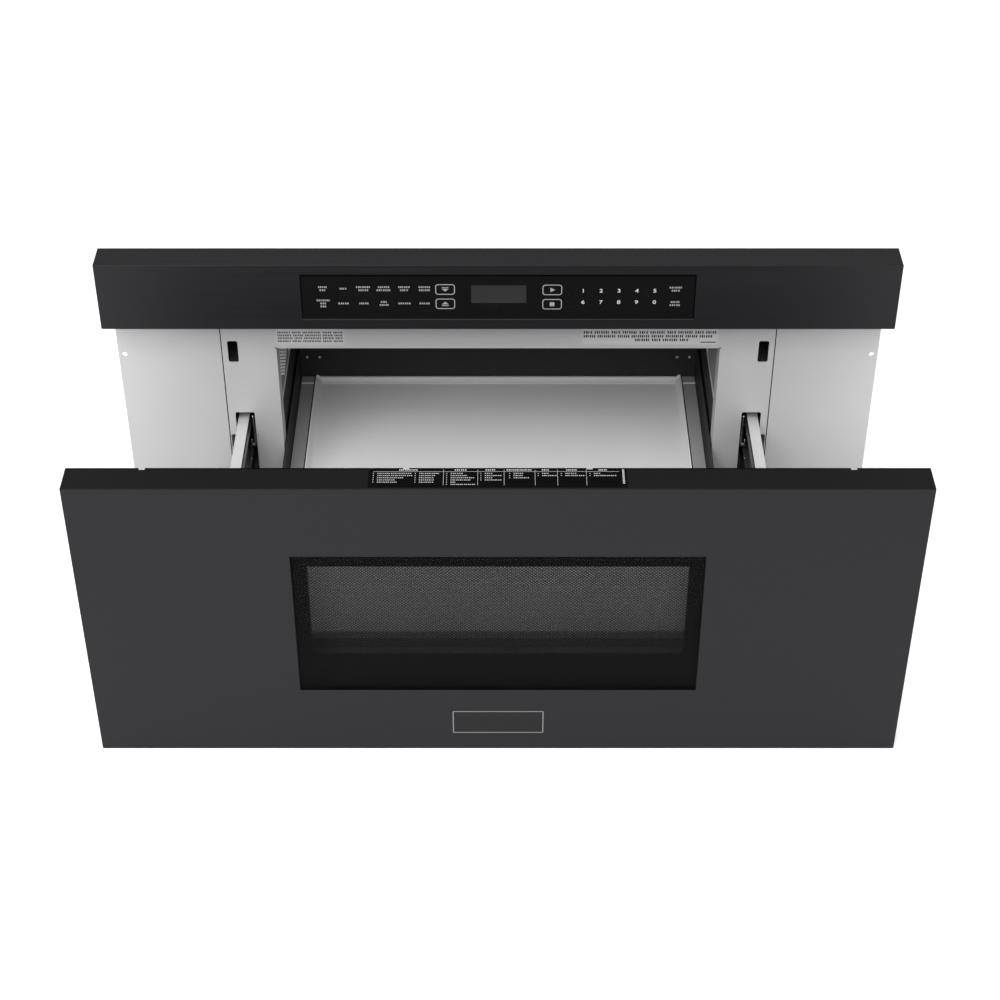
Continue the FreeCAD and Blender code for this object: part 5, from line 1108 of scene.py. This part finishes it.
def make_case_screws():
    """The cover's screw heads, and the dark crosses of painted shade on these and on the rear panel's
    screws.
    """
    heads = bmesh.new()
    crosses = bmesh.new()
    for side in (-1, 1):
        wall = side * CASE_HIGH.x
        for y in CASE_SCREWS_Y:
            add_dome(heads, (wall, y, CASE_SCREW_Z), CASE_SCREW_R, CASE_SCREW_HH, "X", side)
            add_cross(crosses, (wall + side * CASE_SCREW_HH, y, CASE_SCREW_Z), "X", side)
    top_y = CASE_HIGH.y - TOP_SCREW_BACK
    for x in TOP_SCREWS_X:
        add_dome(heads, (x, top_y, CASE_HIGH.z), CASE_SCREW_R, CASE_SCREW_HH, "Z", 1)
        add_cross(crosses, (x, top_y, CASE_HIGH.z + CASE_SCREW_HH), "Z", 1)
    for x, z in rear_screw_places():
        add_cross(crosses, (x, REAR_HIGH.y, z), "Y", 1)
    piece("case_screws", heads, FINISHES["screw_zinc"], "chassis", smooth=True)
    piece("screw_cross_shade", crosses, DARK_PRINT_AND_SHADE, "chassis")


def make_cover_seam():
    """The dark seam over the cover's top and sides, near its rear edge."""
    mesh = bmesh.new()
    middle = CASE_HIGH.y - SEAM_BACK
    along = (middle - SEAM_W / 2, middle + SEAM_W / 2)
    prism(mesh, oblong(-CASE_HIGH.x, CASE_HIGH.x, *along), CASE_HIGH.z, CASE_HIGH.z + FILM_T, "Z")
    for side in (-1, 1):
        levels = sorted((side * CASE_HIGH.x, side * (CASE_HIGH.x + FILM_T)))
        prism(mesh, oblong(*along, CASE_LOW.z, CASE_HIGH.z), *levels, "X")
    piece("cover_seam", mesh, DARK_PRINT_AND_SHADE, "chassis")


def make_rating_film():
    """The blank rating film on the rear panel."""
    mesh = bmesh.new()
    face = CASE_HIGH.y + REAR_PANEL_T
    prism(mesh, rounded(*RATING_FILM, RATING_R, 4), face, face + FILM_T)
    piece("rating_film", mesh, LABEL, "chassis")


def make_bracket_rivets():
    """Rivets that join each rail bracket to its drawer member."""
    mesh = bmesh.new()
    for side in (-1, 1):
        for share in BRACKET_RIVETS:
            y = BRACKET_LOW.y + (BRACKET_HIGH.y - BRACKET_LOW.y) * share
            place = (side * BRACKET_HIGH.x, y, BRACKET_HIGH.z - BRACKET_RIVET_DROP)
            add_dome(mesh, place, BRACKET_RIVET_R, BRACKET_RIVET_HH, "X", side)
    piece("bracket_rivets", mesh, FINISHES["screw_zinc"], "drawer", smooth=True)


# ---------------------------------------------------------------- finishes of the CAD nodes

def finish_nodes():
    """Gives each CAD node the finish of its material slot, and the two front skins rounded folds."""
    for part in frame["record"]["subparts"]:
        node = frame["nodes"][part["node"]]
        node.data.materials.clear()
        node.data.materials.append(FINISHES[part["material_slot"]].material)
    for name, finish in (("drawer_front_skin", drawer_metal()), ("panel_skin", panel_metal())):
        skin_node = frame["nodes"][name]
        skin_node.data.materials[0] = finish.material
        soften(skin_node, FOLD_R)


# ---------------------------------------------------------------- camera, light and floor

IMAGE_PX, FOCAL_PX = 1000, 2008.1
CENTRE_ROW_PX = 360
SENSOR_MM = 36.0
CAMERA_PLACE = (0.0018, -1.5960, 1.4285)
CAMERA_PITCH = 36.28
FLOOR_REACH, FLOOR_DROP = 9.0, 0.0004
SKY_STRENGTH = 0.8
# place, aim, size and power
OVERHEAD = ((0.0, -0.6, 2.6), (0.0, -0.1, 0.1), (3.0, 2.0), 42)
KEY = ((-0.52, -1.5, 1.9), (0.0, -0.05, 0.1), (2.4, 1.6), 63)


def make_camera():
    """A camera at the photograph's place, looking down at the drawer from the front."""
    data = bpy.data.cameras.new("camera")
    data.sensor_width = SENSOR_MM
    data.lens = FOCAL_PX * SENSOR_MM / IMAGE_PX
    data.shift_y = (CENTRE_ROW_PX - IMAGE_PX / 2) / IMAGE_PX
    camera = bpy.data.objects.new("camera", data)
    camera.location = CAMERA_PLACE
    camera.rotation_euler = (math.radians(90 - CAMERA_PITCH), 0, 0)
    bpy.context.scene.collection.objects.link(camera)
    bpy.context.scene.camera = camera


def add_softbox(name, place, aim, size, power):
    """A square area light that looks from its place to its aim."""
    data = bpy.data.lights.new(name, "AREA")
    data.shape = "RECTANGLE"
    data.size, data.size_y = size
    data.energy = power
    light = bpy.data.objects.new(name, data)
    light.location = place
    direction = [a - p for a, p in zip(aim, place)]
    light.rotation_euler = Vector(direction).to_track_quat("-Z", "Y").to_euler()
    light.visible_camera = False
    bpy.context.scene.collection.objects.link(light)


def make_stage():
    """A pale floor under the drawer front, a pale sky and two soft lights."""
    mesh = bmesh.new()
    level = cad_low.z - FLOOR_DROP
    corners = oblong(-FLOOR_REACH, FLOOR_REACH, -FLOOR_REACH, FLOOR_REACH)
    mesh.faces.new([mesh.verts.new((x, y, level)) for x, y in corners])
    data = bpy.data.meshes.new("floor")
    mesh.to_mesh(data)
    mesh.free()
    floor = bpy.data.objects.new("floor", data)
    bpy.context.scene.collection.objects.link(floor)
    surface = Finish("floor_paper", (0.93, 0.93, 0.93), 0.9, specular=0.1)
    surface.tint(surface.noise((3, 3, 3)), 0.995, 1.005)
    data.materials.append(surface.material)

    world = bpy.data.worlds.new("studio")
    world.use_nodes = True
    sky = world.node_tree.nodes["Background"]
    sky.inputs["Color"].default_value = (1.0, 1.0, 1.0, 1.0)
    sky.inputs["Strength"].default_value = SKY_STRENGTH
    bpy.context.scene.world = world
    bpy.context.scene.view_settings.view_transform = "Standard"

    add_softbox("overhead", *OVERHEAD)
    add_softbox("key", *KEY)


finish_nodes()
make_glass_edge_shadow()
make_key_outlines()
make_key_symbols()
make_digits()
make_legends()
make_display()
make_window_print()
make_screen()
make_badge()
make_flange_shadow()
make_menu_card()
make_tray()
make_tray_highlights()
make_ledges()
make_vents()
make_labels()
make_seam_shadows()
make_clips()
make_case_beads()
make_case_screws()
make_cover_seam()
make_rating_film()
make_bracket_rivets()
make_camera()
make_stage()
